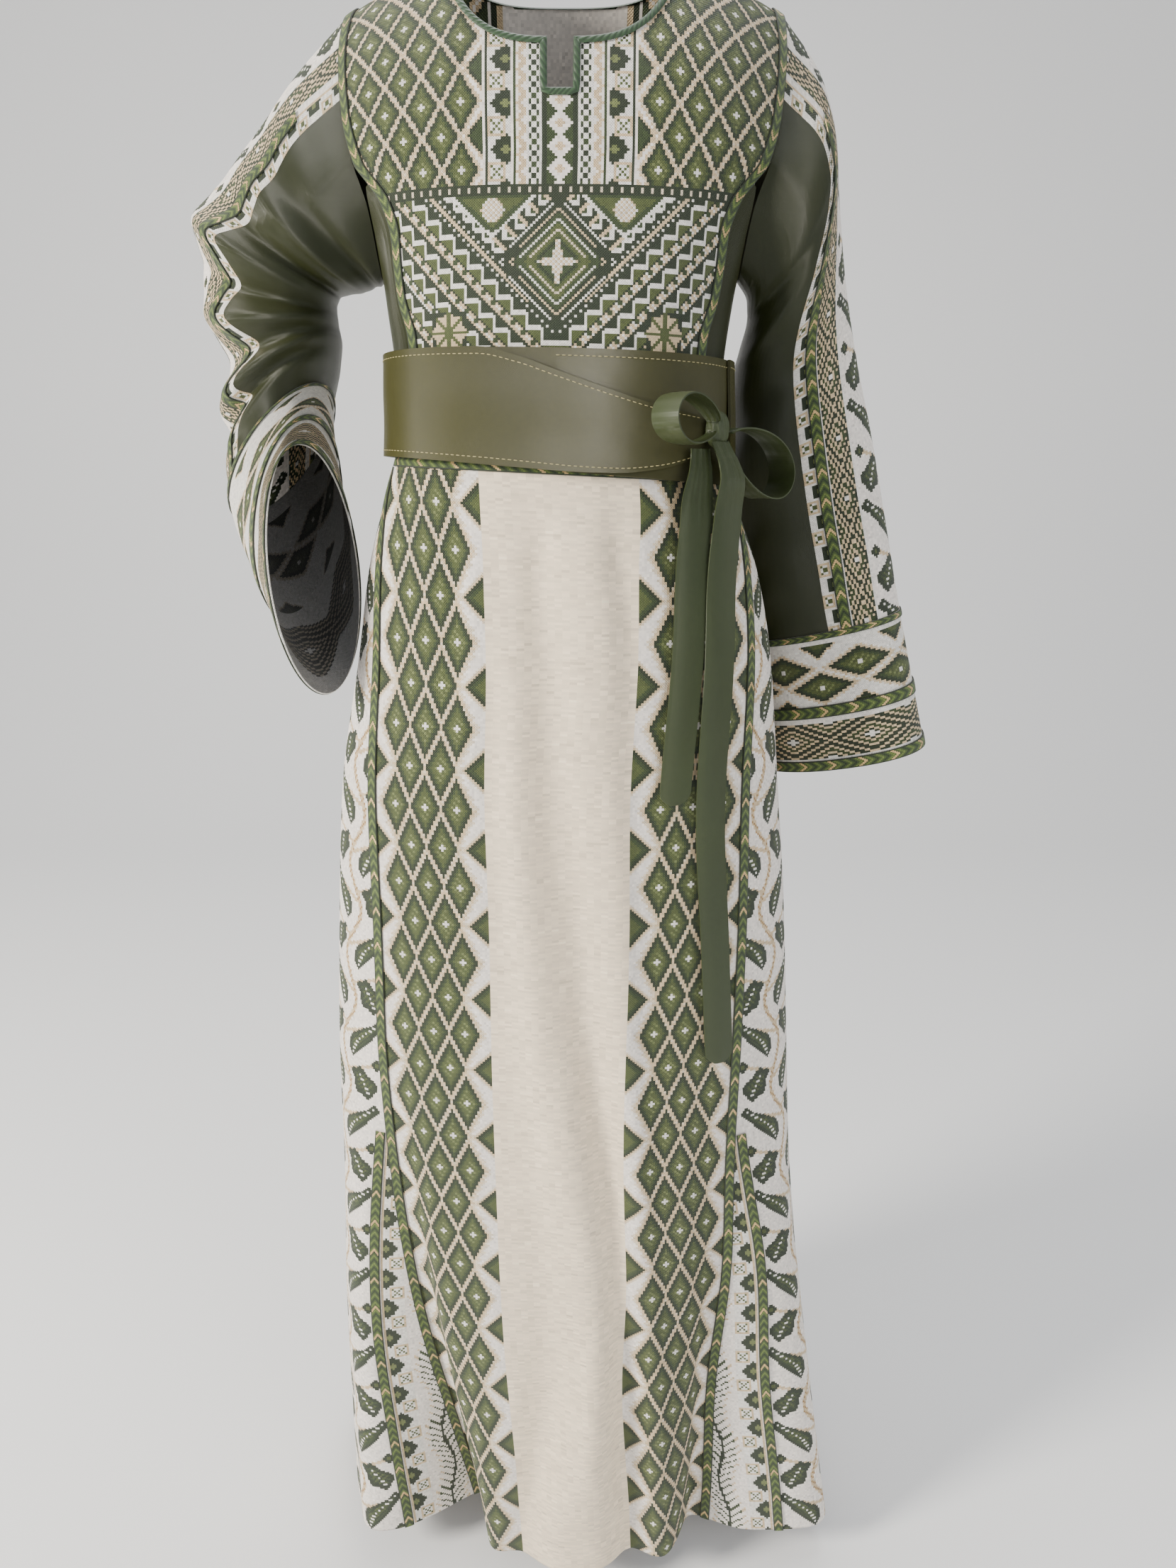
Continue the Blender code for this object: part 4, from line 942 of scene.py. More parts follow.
def lay_braid(name, place, stations, middle, every=22):
    """A braid on a shape: its woven face, and its two edges turned down to the cloth. middle gives
    the distance of its middle at a station, and every how many stitches lie between metal ones."""
    lines = np.linspace(-BRAID_WIDTH / 2, BRAID_WIDTH / 2, BRAID_LINES + 1)
    lines = np.concatenate([[lines[0]], lines, [lines[-1]]])
    crown = BRAID_CROWN * (1 - (lines / (BRAID_WIDTH / 2)) ** 2)
    outs = LIFT + BRAID - BRAID_CROWN + crown
    outs[[0, -1]] = LIFT
    points = np.array([place(station, middle(station) + lines, outs) for station in stations])
    kinds = chevrons(len(stations) - 1, every)
    kinds = np.hstack([kinds[:, :1], kinds, kinds[:, -1:]])
    found = BRAID_THREADS[kinds].copy()
    uneven = 1 + 0.06 * np.random.default_rng(len(stations)).standard_normal(kinds.shape)
    found[..., :3] *= uneven[..., None]
    i = len(stations) // 3
    raised = place(stations[i], middle(stations[i]) + lines, LIFT + BRAID + 0.001)[6] - points[i, 6]
    piece = lay_grid(name, points, found, np.arange(-1, BRAID_LINES + 2, dtype=float),
                     np.arange(len(stations), dtype=float), BRAIDED,
                     flip=faces_in(points, i, 6, raised))
    return dress(piece, name, "braid")


def even(start, end, step):
    """Places from start to end, about a step apart."""
    return np.linspace(start, end, int(round(abs(end - start) / step)) + 1)


seam_stations = even(WAIST_BRAID[1] - 2 * SEAM, HEM_Z, BRAID_STEP)
for letter, side in SIDES:
    lay_braid("skirt_braid_f" + letter, SKIRT_SHAPE.place, seam_stations,
              lambda z: side * FRONT_HALF)
    first = next(z for z in seam_stations
                 if side_seams(z)[1] - BRAID2_FROM_BACK > FRONT_HALF + 1.1 * BRAID_WIDTH)
    lay_braid("skirt_braid_b" + letter, SKIRT_SHAPE.place, even(first, HEM_Z, BRAID_STEP),
              lambda z: side * (side_seams(z)[1] - BRAID2_FROM_BACK))


def waist_place(turned, heights, outs):
    """Points round the waist seam: turned is the share of the way round."""
    return np.array([SKIRT_SHAPE.place(z, [turned * SKIRT_SHAPE.girth(z)], out)[0]
                     for z, out in zip(heights, np.broadcast_to(outs, heights.shape))])


waist_girth = SKIRT_SHAPE.girth(WAIST_BRAID[0])
lay_braid("waist_braid", waist_place, even(0.0, 1.0, BRAID_STEP / waist_girth),
          lambda turned: sum(WAIST_BRAID) / 2)


# Bodice front: linen cut round at the neck with a slit. Down the slit run embroidered columns, beside
# them a diamond lattice, and below the chest line a full panel round a large nested diamond.
CHEST_Z = -0.170
SHOULDER_TIP = 0.181
SHOULDER_DROP = 0.044
ARMPIT = 0.652
RIDGE = 1.9985
NECK_HALF = 0.083
NECK_DEPTH = 0.092
SLIT_HALF = 0.0095
SLIT_BOTTOM = -0.1286
BACK_NECK_DEPTH = 0.022
NET_COLUMNS = 16
NET_ROWS = 24
NECK_SIDE = 3.2
NECK_BASE = 2.2
BODICE_PITCH = 0.0020
CHEST_LINE_Z = -0.196
PANEL_FOOT_Z = -0.304
BESIDE_SLIT = np.array([0.04])
BODICE_CUT = (0.37, 0.50)
BODICE_AREA = 0.122

# A row for each section of the bodice, from waist to chest: half width, front and back depth from
# the middle, the middle's place, and how square the outline is.
TORSO = Table(
    ("z", "half", "front", "back", "middle_x", "middle_y", "square"), [
        (-0.400, 0.1410, 0.097, 0.088, -0.0060, -0.055, 2.15),
        (-0.360, 0.1400, 0.101, 0.087, -0.0062, -0.051, 2.15),
        (-0.320, 0.1425, 0.103, 0.090, -0.0064, -0.046, 2.20),
        (-0.280, 0.1480, 0.101, 0.095, -0.0060, -0.038, 2.25),
        (-0.250, 0.1530, 0.099, 0.099, -0.0052, -0.032, 2.30),
        (-0.225, 0.1600, 0.097, 0.101, -0.0045, -0.027, 2.35),
        (-0.200, 0.1720, 0.096, 0.101, -0.0038, -0.022, 2.40),
        (-0.170, 0.1920, 0.096, 0.098, -0.0030, -0.018, 2.40),
    ])

# Half widths of the bodice's embroidered panel, by station: 0 waist, 1 chest, 2 shoulder ridge.
PANEL_EDGE = Table(
    ("station", "braid", "armhole"), [
        (0.00, 0.116, 0.200),
        (0.40, 0.1215, 0.200),
        (0.55, 0.131, 0.200),
        (0.652, 0.1345, 0.1529),
        (0.76, 0.137, 0.1548),
        (0.87, 0.146, 0.1585),
        (0.93, 0.156, 0.1628),
        (1.00, 0.168, 0.1685),
        (1.20, 0.178, 0.1780),
        (1.50, 0.182, 0.1820),
        (2.00, 0.181, 0.1810),
    ])


def ridge_height(x):
    """Height of the shoulder ridge, which falls from the neck to the shoulder's tip."""
    return -SHOULDER_DROP * np.maximum(np.abs(x) - NECK_HALF, 0) / (SHOULDER_TIP - NECK_HALF)


def bodice_shape(station, angle):
    """The bodice's outside by station: upright to the chest, then closing in to the shoulder ridge."""
    level = min(station, 1.0)
    z = WAIST_Z + (CHEST_Z - WAIST_Z) * level
    half, front, back, middle_x, middle_y, square = [TORSO.at(name, z) for name in TORSO.columns[1:]]
    out_x = half * power(np.sin(angle), 2 / square)
    lean = power(np.cos(angle), 2 / square)
    out_y = -np.where(lean > 0, front, back) * lean
    if station <= 1:
        x = middle_x + out_x
        height = z + waist_tilt(x, 1 - ease(level, 0.0, 0.55))
        return np.stack([x, middle_y + out_y, height + 0 * x], -1)
    rise = (station - 1) * math.pi / 2
    x = middle_x * math.cos(rise) + out_x
    y = (middle_y + out_y) * math.cos(rise)
    height = z + (ridge_height(x) - z) * math.sin(rise)
    return np.stack([x, y, height], -1)


def bodice_angle(station, half_width, behind):
    """The angle of the bodice's point that lies half_width from its middle."""
    z = WAIST_Z + (CHEST_Z - WAIST_Z) * min(station, 1.0)
    reach = min(half_width / TORSO.at("half", z), 1.0)
    angle = math.asin(reach ** (TORSO.at("square", z) / 2))
    return math.pi - angle if behind else angle


BODICE = Shape(bodice_shape, 0.001)


def station_at(x, z):
    """The bodice's station at a place and height above the chest."""
    climb = (z - CHEST_Z) / (float(ridge_height(x)) - CHEST_Z)
    return min(1 + math.asin(min(max(climb, 0), 1)) / (math.pi / 2), RIDGE)


def edge_distance(station, column, behind):
    """Distance round the bodice, from the front centre, of an edge at a station."""
    angle = bodice_angle(station, float(PANEL_EDGE.at(column, station)), behind)
    return BODICE.distance(station, angle)


def panel_half(station, behind):
    """Distance along the cloth from the panel's own centre to its edge."""
    edge = edge_distance(station, "braid", behind)
    return BODICE.distance(station, math.pi) - edge if behind else edge


def panel_place(station, where, behind, out):
    """A point of the front or back panel; where is the distance from its centre, + to the left arm."""
    distance = BODICE.distance(station, math.pi) - where if behind else where
    return BODICE.place(station, distance, out)


def neck_opening(station, behind):
    """Half the width of the neck's opening along the cloth at a station, 0 below it."""
    if station <= 1:
        return 0.0
    depth = BACK_NECK_DEPTH if behind else NECK_DEPTH
    z = CHEST_Z * (1 - math.sin((station - 1) * math.pi / 2))
    share = min(-z / depth, 1.0)
    x = NECK_HALF * (1 - share ** NECK_BASE) ** (1 / NECK_SIDE)
    if not behind and z > SLIT_BOTTOM:
        x = max(x, SLIT_HALF)
    half = panel_half(station, behind) - SEAM / 2
    return x * (half - BRAID_WIDTH) / (SHOULDER_TIP - BRAID_WIDTH)


def bodice_stations(pitch, behind):
    """Stations from the waist to the shoulder ridge, a stitch apart along the cloth's middle."""
    tried = np.linspace(0, RIDGE, 300)
    line = np.array([panel_place(station, BESIDE_SLIT, behind, 0.0)[0] for station in tried])
    run = run_along(line)
    count = int(run[-1] / pitch)
    return np.interp(np.arange(count + 1) / count * run[-1], run, tried)


def lay_bodice(name, pitch, behind, chart_of):
    """The front or back of the bodice, with the neck cut out of its stitches."""
    stations = bodice_stations(pitch, behind)[::-1]
    reach = max(panel_half(station, behind) for station in stations)
    count = int(reach / pitch) + 1
    lines = np.arange(-count, count + 1) * pitch
    sides = np.where(lines < 0, -1, 1)
    openings = np.array([neck_opening(station, behind) for station in stations])
    halves = np.array([panel_half(station, behind) - SEAM / 2 for station in stations])
    inside = np.abs(lines)[None] < openings[:, None] - 1e-6
    clipped = np.clip(np.abs(lines)[None], openings[:, None], halves[:, None]) * sides
    narrow = np.abs(np.diff(clipped, axis=1)) < 1e-6
    cut_out = (inside[:-1, :-1] & inside[:-1, 1:]) | (inside[1:, :-1] & inside[1:, 1:])
    keep = ~cut_out & ~(narrow[:-1] & narrow[1:])
    rows = dict(zip(stations, clipped))
    heights = np.array([panel_place(station, BESIDE_SLIT, behind, 0.0)[0, 2] for station in stations])
    chart = chart_of(heights, count)

    def place(station, wheres, out):
        return panel_place(station, wheres, behind, out)

    down = np.arange(len(stations), dtype=float)
    return sew(name, place, [(station, 0.0) for station in stations], rows.get,
               chart.colours(5 + behind), np.arange(-count, count + 1.0), down, STITCHED,
               "green_embroidery", keep=keep)


def lattice(chart, outer, start, phase, inside):
    """Short diamonds in a net of gold lines, with half diamonds in the notches of its inner edge."""
    half_x, half_y = NET_COLUMNS / 2, NET_ROWS / 2
    across = outer - start
    net = np.full(across.shape, float(NET_ROWS))
    cross = net.copy()
    for shift_x, shift_y in ((half_x, 0), (NET_COLUMNS, half_y)):
        dx = (across - shift_x + half_x) % NET_COLUMNS - half_x
        dx = np.where(across < shift_x, across - shift_x, dx)
        dy = (chart.y - phase - shift_y + half_y) % NET_ROWS - half_y
        net = np.minimum(net, np.abs(dx) + np.abs(dy) * 0.62)
        cross = np.minimum(cross, np.abs(dx) + np.abs(dy))
    chart.paint(inside & (net <= 8.3), "gold")
    chart.paint(inside & (net <= 8.3) & ((chart.x * 3 + chart.y * 5) % 7 < 2), "beige")
    for reach, thread in ((6.7, "dark"), (5.4, "green"), (4.4, "olive")):
        chart.paint(inside & (net <= reach), thread)
    chart.paint(inside & (net <= 3.4) & ((chart.x + 2 * chart.y) % 3 < 1), "light")
    chart.paint(inside & (cross <= 1.2), "white")
    beside = np.abs((chart.y - phase) % NET_ROWS - half_y)
    for reach, thread in ((6.8, "gold"), (5.6, "dark"), (4.2, "green")):
        chart.paint(inside & (across + beside * 0.8 <= reach), thread)


def star_border_mirrored(chart, outer, inside):
    """The star border on both sides of the slit: half stars inside, gold squares outside."""
    half_y = (chart.y + 8) % 16 - 8
    inside = inside & (outer > 19) & (outer < 27.6)
    dx, dy = np.abs(outer - 21), np.abs(half_y)
    chart.paint(inside, "white")
    chart.paint(inside & ((np.maximum(dx, dy) <= 3.8) | (dx + dy <= 5.8)), "dark")
    chart.paint(inside & (dx + dy <= 1.5), "light")
    edge = np.maximum(np.abs(outer - 24.5), 8 - dy)
    chart.paint(inside & (edge <= 3.4), "gold")
    chart.paint(inside & (edge <= 2.2), "white")
    chart.paint(inside & (edge <= 2.2) & (np.abs(np.abs(outer - 24.5) - (8 - dy)) < 0.7), "olive")


def bodice_front_chart(heights, count):
    """The chest's embroidery. up counts stitches above the foot of the large V."""
    middles = (heights[:-1] + heights[1:]) / 2
    chart = Chart(np.arange(len(middles)), np.arange(-count, count) + 0.5, "ground")
    outer = np.abs(chart.x)
    placket = np.broadcast_to(middles[:, None], outer.shape) > CHEST_LINE_Z
    foot = int(np.argmin(np.abs(middles - PANEL_FOOT_Z)))
    top = int(np.argmin(np.abs(middles - CHEST_LINE_Z)))
    up = foot - chart.y
    line_y = chart.y - top
    lattice(chart, outer, 30.5, top - 6, placket & (outer > 30) & (line_y < 0))
    columns = placket & (line_y < 0)
    step = chart.y % 4
    chart.paint(columns & (np.abs(outer - 6) < 0.6), "dark")
    crossed = np.minimum(np.abs(outer - 10 - (step - 1.5)), np.abs(outer - 10 + (step - 1.5))) < 0.8
    eight = chart.y % 8 < 4
    chart.paint(columns & (np.abs(outer - 10) < 2.6), "white")
    chart.paint(columns & (np.abs(outer - 10) < 2.6) & crossed & eight, "dark")
    chart.paint(columns & (np.abs(outer - 10) < 2.6) & crossed & ~eight, "green")
    zigzag = 14 + np.abs(chart.y % 6 - 3) * 0.6
    chart.paint(columns & (np.abs(outer - zigzag) < 1.1), "gold")
    chart.paint(columns & (np.abs(outer - 17.5) < 0.6), "green")
    star_border_mirrored(chart, outer, columns)
    chart.paint(columns & (np.abs(outer - 28.5) < 0.6), "dark")
    slit_foot = chart.y - int(np.argmin(np.abs(middles - SLIT_BOTTOM)))
    below = columns & (outer < 5.5) & (slit_foot > 0)
    beat = (slit_foot + 4) % 8 - 4
    chart.paint(below, "ground")
    chart.paint(below & (np.abs(beat) <= (outer - 1) * 0.9) & (outer < 4.6), "green")
    chart.paint(below & (outer + np.abs(np.abs(beat) - 4) < 1.8), "gold")

    lower = ~placket
    aslant = outer - up
    along = outer + up
    fold = (aslant - 5) % 14
    tri = np.abs(along % 12 - 6)
    chart.paint(lower, "dark")
    chart.paint(lower & (fold < 7) & (fold > tri), "olive")
    chart.paint(lower & (fold < 7) & (np.abs(fold - tri) < 1.4), "white")
    flower = np.abs(fold - 9.5) + np.abs(along % 8 - 4)
    speckled = lower & (fold > 7.5) & (fold < 12.5)
    chart.paint(speckled, "gold")
    chart.paint(speckled & ((chart.x + 2 * chart.y) % 3 < 1), "white")
    chart.paint(speckled & (flower <= 2.4), "green")
    within = lower & (aslant < 4)
    chart.paint(within, "dark")
    step_up = np.abs(along % 8 - 4)
    chart.paint(within & ((aslant % 9) < step_up), "green")
    chart.paint(within & (np.abs(aslant % 9 - step_up) < 1.1), "white")
    chart.paint(within & (aslant % 9 > 7), "gold")
    vee = lower & (np.abs(aslant) < 5)
    chart.paint(vee, "dark")
    chart.paint(vee & (np.abs(np.abs(aslant) - 2.5) < 0.9) & (along % 4 < 2), "white")
    chart.paint(vee & (np.abs(aslant) < 0.9), "gold")
    central = outer + np.abs(up - 26) * 24 / 26.5
    for reach, fill, line in ((25, "dark", "white"), (21, "dark", "gold"), (17.4, "green", "white"),
                              (13.4, "olive", "beige"), (9.4, "green", "dark")):
        ring = lower & (central <= reach)
        chart.paint(ring, fill)
        chart.paint(ring & (central > reach - 2.6) & (central <= reach - 1) & (along % 2 < 1), line)
    petals = np.minimum(outer, np.abs(up - 26)) + central * 0.35
    chart.paint(lower & (central <= 8) & (petals < 3.4), "gold")
    chart.paint(lower & (central <= 8) & (petals < 3.4) & ((chart.x + chart.y) % 2 < 1), "white")
    beside = np.abs(outer - 26)
    fan = lower & (beside <= (up - 35) * 1.06) & (up <= 53)
    chart.paint(fan, "white")
    inner_fan = fan & (beside <= (up - 36.6) * 1.06) & (up <= 51.5)
    chart.paint(inner_fan, "green")
    chart.paint(inner_fan & (beside <= (up - 39) * 1.06) & (up <= 50), "olive")
    bloom = np.hypot(beside, up - 46)
    chart.paint(inner_fan & (bloom < 4.6), "gold")
    chart.paint(inner_fan & (bloom < 4.6) & ((chart.x + chart.y) % 2 < 1), "white")
    star_x, star_up = outer - 44, up + 1
    reach_x, reach_up = np.abs(star_x), np.abs(star_up)
    star = (np.maximum(reach_x, reach_up) <= 6) | (reach_x + reach_up <= 8.6)
    chart.paint(lower & (np.maximum(reach_x, reach_up) <= 8.4), "dark")
    chart.paint(lower & star, "gold")
    chart.paint(lower & star & (np.minimum(np.abs(reach_x - reach_up),
                                           np.minimum(reach_x, reach_up)) < 0.9), "olive")
    chain = (line_y >= 0) & (line_y < 4)
    chart.paint(chain, "dark")
    chart.paint((line_y >= 1) & (line_y < 3) & (chart.x % 4 < 1.5), "beige")
    return chart


bodice_front = lay_bodice("bodice_front", BODICE_PITCH, False, bodice_front_chart)
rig.sheet(bodice_front, BODICE_CUT, "hung", rests_on=["belt"], area=BODICE_AREA)

# Bodice back: plain linen in the middle with the same lattice over the shoulder blades, and a broad
# border of slanting rows above the waist. The neck is cut only a little into it.
BACK_BODICE_PITCH = 0.0026


def bodice_back_chart(heights, count):
    """The back's embroidery. up counts stitches above its border."""
    middles = (heights[:-1] + heights[1:]) / 2
    chart = Chart(np.arange(len(middles)), np.arange(-count, count) + 0.5, "ground")
    outer = np.abs(chart.x)
    top = int(np.argmin(np.abs(middles - CHEST_LINE_Z + 0.03)))
    up = top - chart.y
    lattice(chart, outer, 26, top + 6, (up > 3) & (outer > 26))
    chart.paint((up > 3) & (np.abs(outer - 24) < 1.1), "dark")
    chart.paint((up > 3) & (np.abs(outer - 22) < 0.6), "gold")
    fold = (outer - up) % 14
    tri = np.abs((outer + up) % 10 - 5)
    lower = up <= 0
    chart.paint(lower, "dark")
    chart.paint(lower & (fold < 6) & (fold > tri), "olive")
    chart.paint(lower & (fold < 6) & (np.abs(fold - tri) < 0.9), "white")
    flower = np.abs(fold - 9.5) + np.abs((outer + up) % 8 - 4)
    chart.paint(lower & (fold > 6.5) & (fold < 12.5), "ground")
    chart.paint(lower & (fold > 6.5) & (fold < 12.5) & (flower <= 3.4), "gold")
    chart.paint((up >= 0) & (up < 4), "dark")
    chart.paint((up >= 1) & (up < 3) & (chart.x % 4 < 2), "gold")
    return chart


bodice_back = lay_bodice("bodice_back", BACK_BODICE_PITCH, True, bodice_back_chart)
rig.sheet(bodice_back, BODICE_CUT, "hung", rests_on=["belt"], area=BODICE_AREA)

# Bodice braids: the same braid over the seams between the linen and the satin sides, from the belt
# to the shoulder, front and back.
braid_tried = np.linspace(0.045, RIDGE, 200)
for letter, side in SIDES:
    for end, behind in (("f", False), ("b", True)):
        def braid_middle(station):
            edge = edge_distance(station, "braid", behind)
            return side * (edge + (1 if behind else -1) * (SEAM + BRAID_WIDTH) / 2)

        line = np.array([BODICE.place(station, [braid_middle(station)])[0] for station in braid_tried])
        run = run_along(line)
        stations = np.interp(even(0, run[-1], BRAID_STEP), run, braid_tried)
        lay_braid("bodice_braid_" + end + letter, BODICE.place, stations, braid_middle, 18)

# Satin sides: dark olive satin from the waist to the armhole, with the soft shine and the small
# drawn-in creases of a light satin weave. The sleeves' undersides and the sash are cut from it too.


def satin(name, shade, gleam, creases):
    """Satin: smooth, with fine lines across its weave and shallow creases."""
    made, shader, nodes = new_material(name)
    dark = (*linear(shade), 1)
    bright = (*linear(gleam), 1)
    slow = nodes.noise(6, 2)
    drawn = nodes.noise(11, 2, (1.0, 1.0, 0.5))
    base = nodes.node("Mix", {"data_type": "RGBA"}, {0: slow, 6: dark, 7: bright}, 2)
    twill = nodes.node("TexWave", {"bands_direction": "DIAGONAL"}, {"Scale": 900.0, "Distortion": 0.6})
    nodes.join(shader.inputs["Base Color"], base * (0.86 + 0.28 * nodes.noise(260)))
    nodes.join(shader.inputs["Roughness"], 0.34 + 0.10 * nodes.noise(20))
    shader.inputs["Specular IOR Level"].default_value = 0.42
    shader.inputs["Sheen Weight"].default_value = 0.05
    shader.inputs["Sheen Tint"].default_value = (0.62, 0.60, 0.34, 1)
    creased = nodes.bump(drawn, creases)
    nodes.join(shader.inputs["Normal"], nodes.bump(twill, 0.00004, creased))
    return made


SATIN = satin("green_satin_cloth", "1C210C", "2E3214", 0.008)
SATIN_THICK = 0.0013


def lay_satin(name, outside, inside, finish=SATIN, round_it=False):
    """A cloth of two faces with closed edges, between two grids of points; round_it joins its ends."""
    outside = np.array(outside)
    rows, columns = outside.shape[:2]
    lines = columns if round_it else columns - 1
    layer = rows * columns

    def at(i, j):
        return i * columns + j % columns

    faces = []
    for i in range(rows - 1):
        for j in range(lines):
            face = (at(i, j), at(i + 1, j), at(i + 1, j + 1), at(i, j + 1))
            faces += [face, tuple(corner + layer for corner in face[::-1])]
    edges = [(at(i, j), at(i, j + 1)) for i in (0, rows - 1) for j in range(lines)]
    if not round_it:
        edges += [(at(i, j), at(i + 1, j)) for i in range(rows - 1) for j in (0, columns - 1)]
    faces += [(a, b, b + layer, a + layer) for a, b in edges]
    points = np.concatenate([outside.reshape(-1, 3), np.array(inside).reshape(-1, 3)])
    piece = model(name, points.tolist(), faces, finish, turned_out=True)
    piece.data.set_sharp_from_angle(angle=math.radians(50))
    return dress(piece, name, "green_satin")


SIDE_TOP = 0.93


def side_top(share):
    """The station where the satin side panel stops, across it from the front seam to the back."""
    return ARMPIT - 0.004 + (SIDE_TOP - ARMPIT + 0.004) * ease(abs(2 * share - 1), 0.18, 1.0)


for letter, side in SIDES:
    layers = ([], [])
    for corner in np.linspace(0, SIDE_TOP, 60):
        row = []
        for share in np.linspace(0, 1, 25):
            station = corner * side_top(share) / SIDE_TOP
            start = edge_distance(station, "braid", False) + SEAM / 2
            end = edge_distance(station, "braid", True) - SEAM / 2
            where = start + (end - start) * share
            if station > ARMPIT and 0 < share < 0.5:
                where = min(where, edge_distance(station, "armhole", False) - 2 * SEAM)
            if station > ARMPIT and 0.5 < share < 1:
                where = max(where, edge_distance(station, "armhole", True) + 2 * SEAM)
            row.append((station, side * where))
        for layer, out in zip(layers, (0.0, -SATIN_THICK)):
            layer.append([BODICE.place(station, [where], out)[0] for station, where in row])
    piece = lay_satin("bodice_side_" + letter, *layers)
    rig.sheet(piece, (0.19, 0.21), "hung", rests_on=["belt"], area=0.024)

# Neck binding: a dark green strip folded over the neck's cut edge and down both sides of the slit,
# sewn with close slanting stitches.
BINDING_WIDTH = 0.0055
BINDING_LIFT = 0.0009
BINDING_LINES = 7


def neck_place(x, z, behind, out):
    """A point of the bodice at a place and height above the chest."""
    station = station_at(x, z)
    half = panel_half(station, behind) - SEAM / 2
    where = x * (half - BRAID_WIDTH) / (SHOULDER_TIP - BRAID_WIDTH)
    return panel_place(station, where, behind, out)


def bound_edge():
    """Dark green cotton under close slanting stitches."""
    made, shader, nodes = new_material("bound_edge")
    place = nodes.node("UVMap", {"uv_map": "stitch"})
    slant = nodes.reckon("SINE", (place.part("Y") + 0.5 * place.part("X")) * math.pi)
    # Painted shade and highlight: the colour darkens between the slanting stitches and lightens on them; the noise is
    # random flecks.
    shade = 0.8 + 0.25 * slant + 0.2 * nodes.noise(300)
    nodes.join(shader.inputs["Base Color"], shade * tuple(linear("2B4527")))
    shader.inputs["Roughness"].default_value = 0.55
    shader.inputs["Sheen Weight"].default_value = 0.2
    nodes.join(shader.inputs["Normal"], nodes.bump(0.5 + 0.5 * slant, 0.0003))
    return made


def neck_edge(behind):
    """Half of the neck's cut edge as a fine line of places and heights, from the middle out."""
    depth = BACK_NECK_DEPTH if behind else NECK_DEPTH
    first = 0.0 if behind else SLIT_HALF
    turns = np.linspace(0, math.pi / 2, 60)
    across = NECK_HALF * np.sin(turns) ** (2 / NECK_SIDE)
    drop = -depth * np.cos(turns) ** (2 / NECK_BASE)
    line = [(float(x), float(z)) for x, z in zip(across, drop) if x > first and z < -0.0002]
    return [(first, -depth * (1 - (first / NECK_HALF) ** NECK_SIDE) ** (1 / NECK_BASE))] + line


front_edge = [(x, z, False) for x, z in neck_edge(False)]
back_edge = [(x, z, True) for x, z in neck_edge(True)]
slit_line = [(SLIT_HALF, z, False) for z in even(SLIT_BOTTOM, front_edge[0][1], 0.003)[:-1]]
slit_base = [(x, SLIT_BOTTOM, False) for x in even(0, SLIT_HALF, 0.002)[:-1]]
left_line = slit_base + slit_line + front_edge + [(NECK_HALF, -0.0001, False)] + back_edge[:0:-1]
right_line = [(-x, z, behind) for x, z, behind in left_line[:0:-1]]
path = left_line + [(0.0, -BACK_NECK_DEPTH, True)] + right_line
edge = np.array([neck_place(*cell, 0.0) for cell in path])
normal = np.array([neck_place(*cell, 1.0) for cell in path]) - edge
ways = np.roll(edge, -1, 0) - np.roll(edge, 1, 0)
ways /= np.linalg.norm(ways, axis=1, keepdims=True)
sides = np.cross(ways, normal)
sides /= np.linalg.norm(sides, axis=1, keepdims=True)
if np.dot(sides[0], (0, 0, -1)) < 0:
    sides = -sides
profile = [(0.0, -CLOTH)] + [
    (BINDING_WIDTH * f, BINDING_LIFT + BRAID * math.sqrt(max(1 - (2 * f - 1) ** 2, 0.04)))
    for f in np.linspace(0, 1, BINDING_LINES)]
points = np.array([[point + side * wide + up * lift for wide, lift in profile]
                   for point, side, up in zip(edge, sides, normal)])
points = np.concatenate([points, points[:1]])
plain = np.ones((len(points) - 1, len(profile) - 1, 4))
binding = lay_grid("neck_binding", points, plain, np.arange(len(profile), dtype=float),
                   np.arange(len(points), dtype=float), bound_edge(),
                   flip=faces_in(points, 0, 4, normal[0]))
dress(binding, "neck_binding", "binding")


# Sleeves: the embroidered top of each sleeve runs from the shoulder to the cuff, with leaves along
# its outer line, a strip of nested diamonds, the braid and a star edge. Satin goes under the arm.
SLEEVE_PITCH = 0.0021
SLEEVE_TOP_HALF = 0.100
SLEEVE_BRAID_AT = 0.083
ARMHOLE_GAP = (0.0009, -0.0006)
ARMHOLE_REACH = 1.6
CUFF_START = 9.0
CUFF_END = 10.0
RIGHT_DEEPER = 1.6

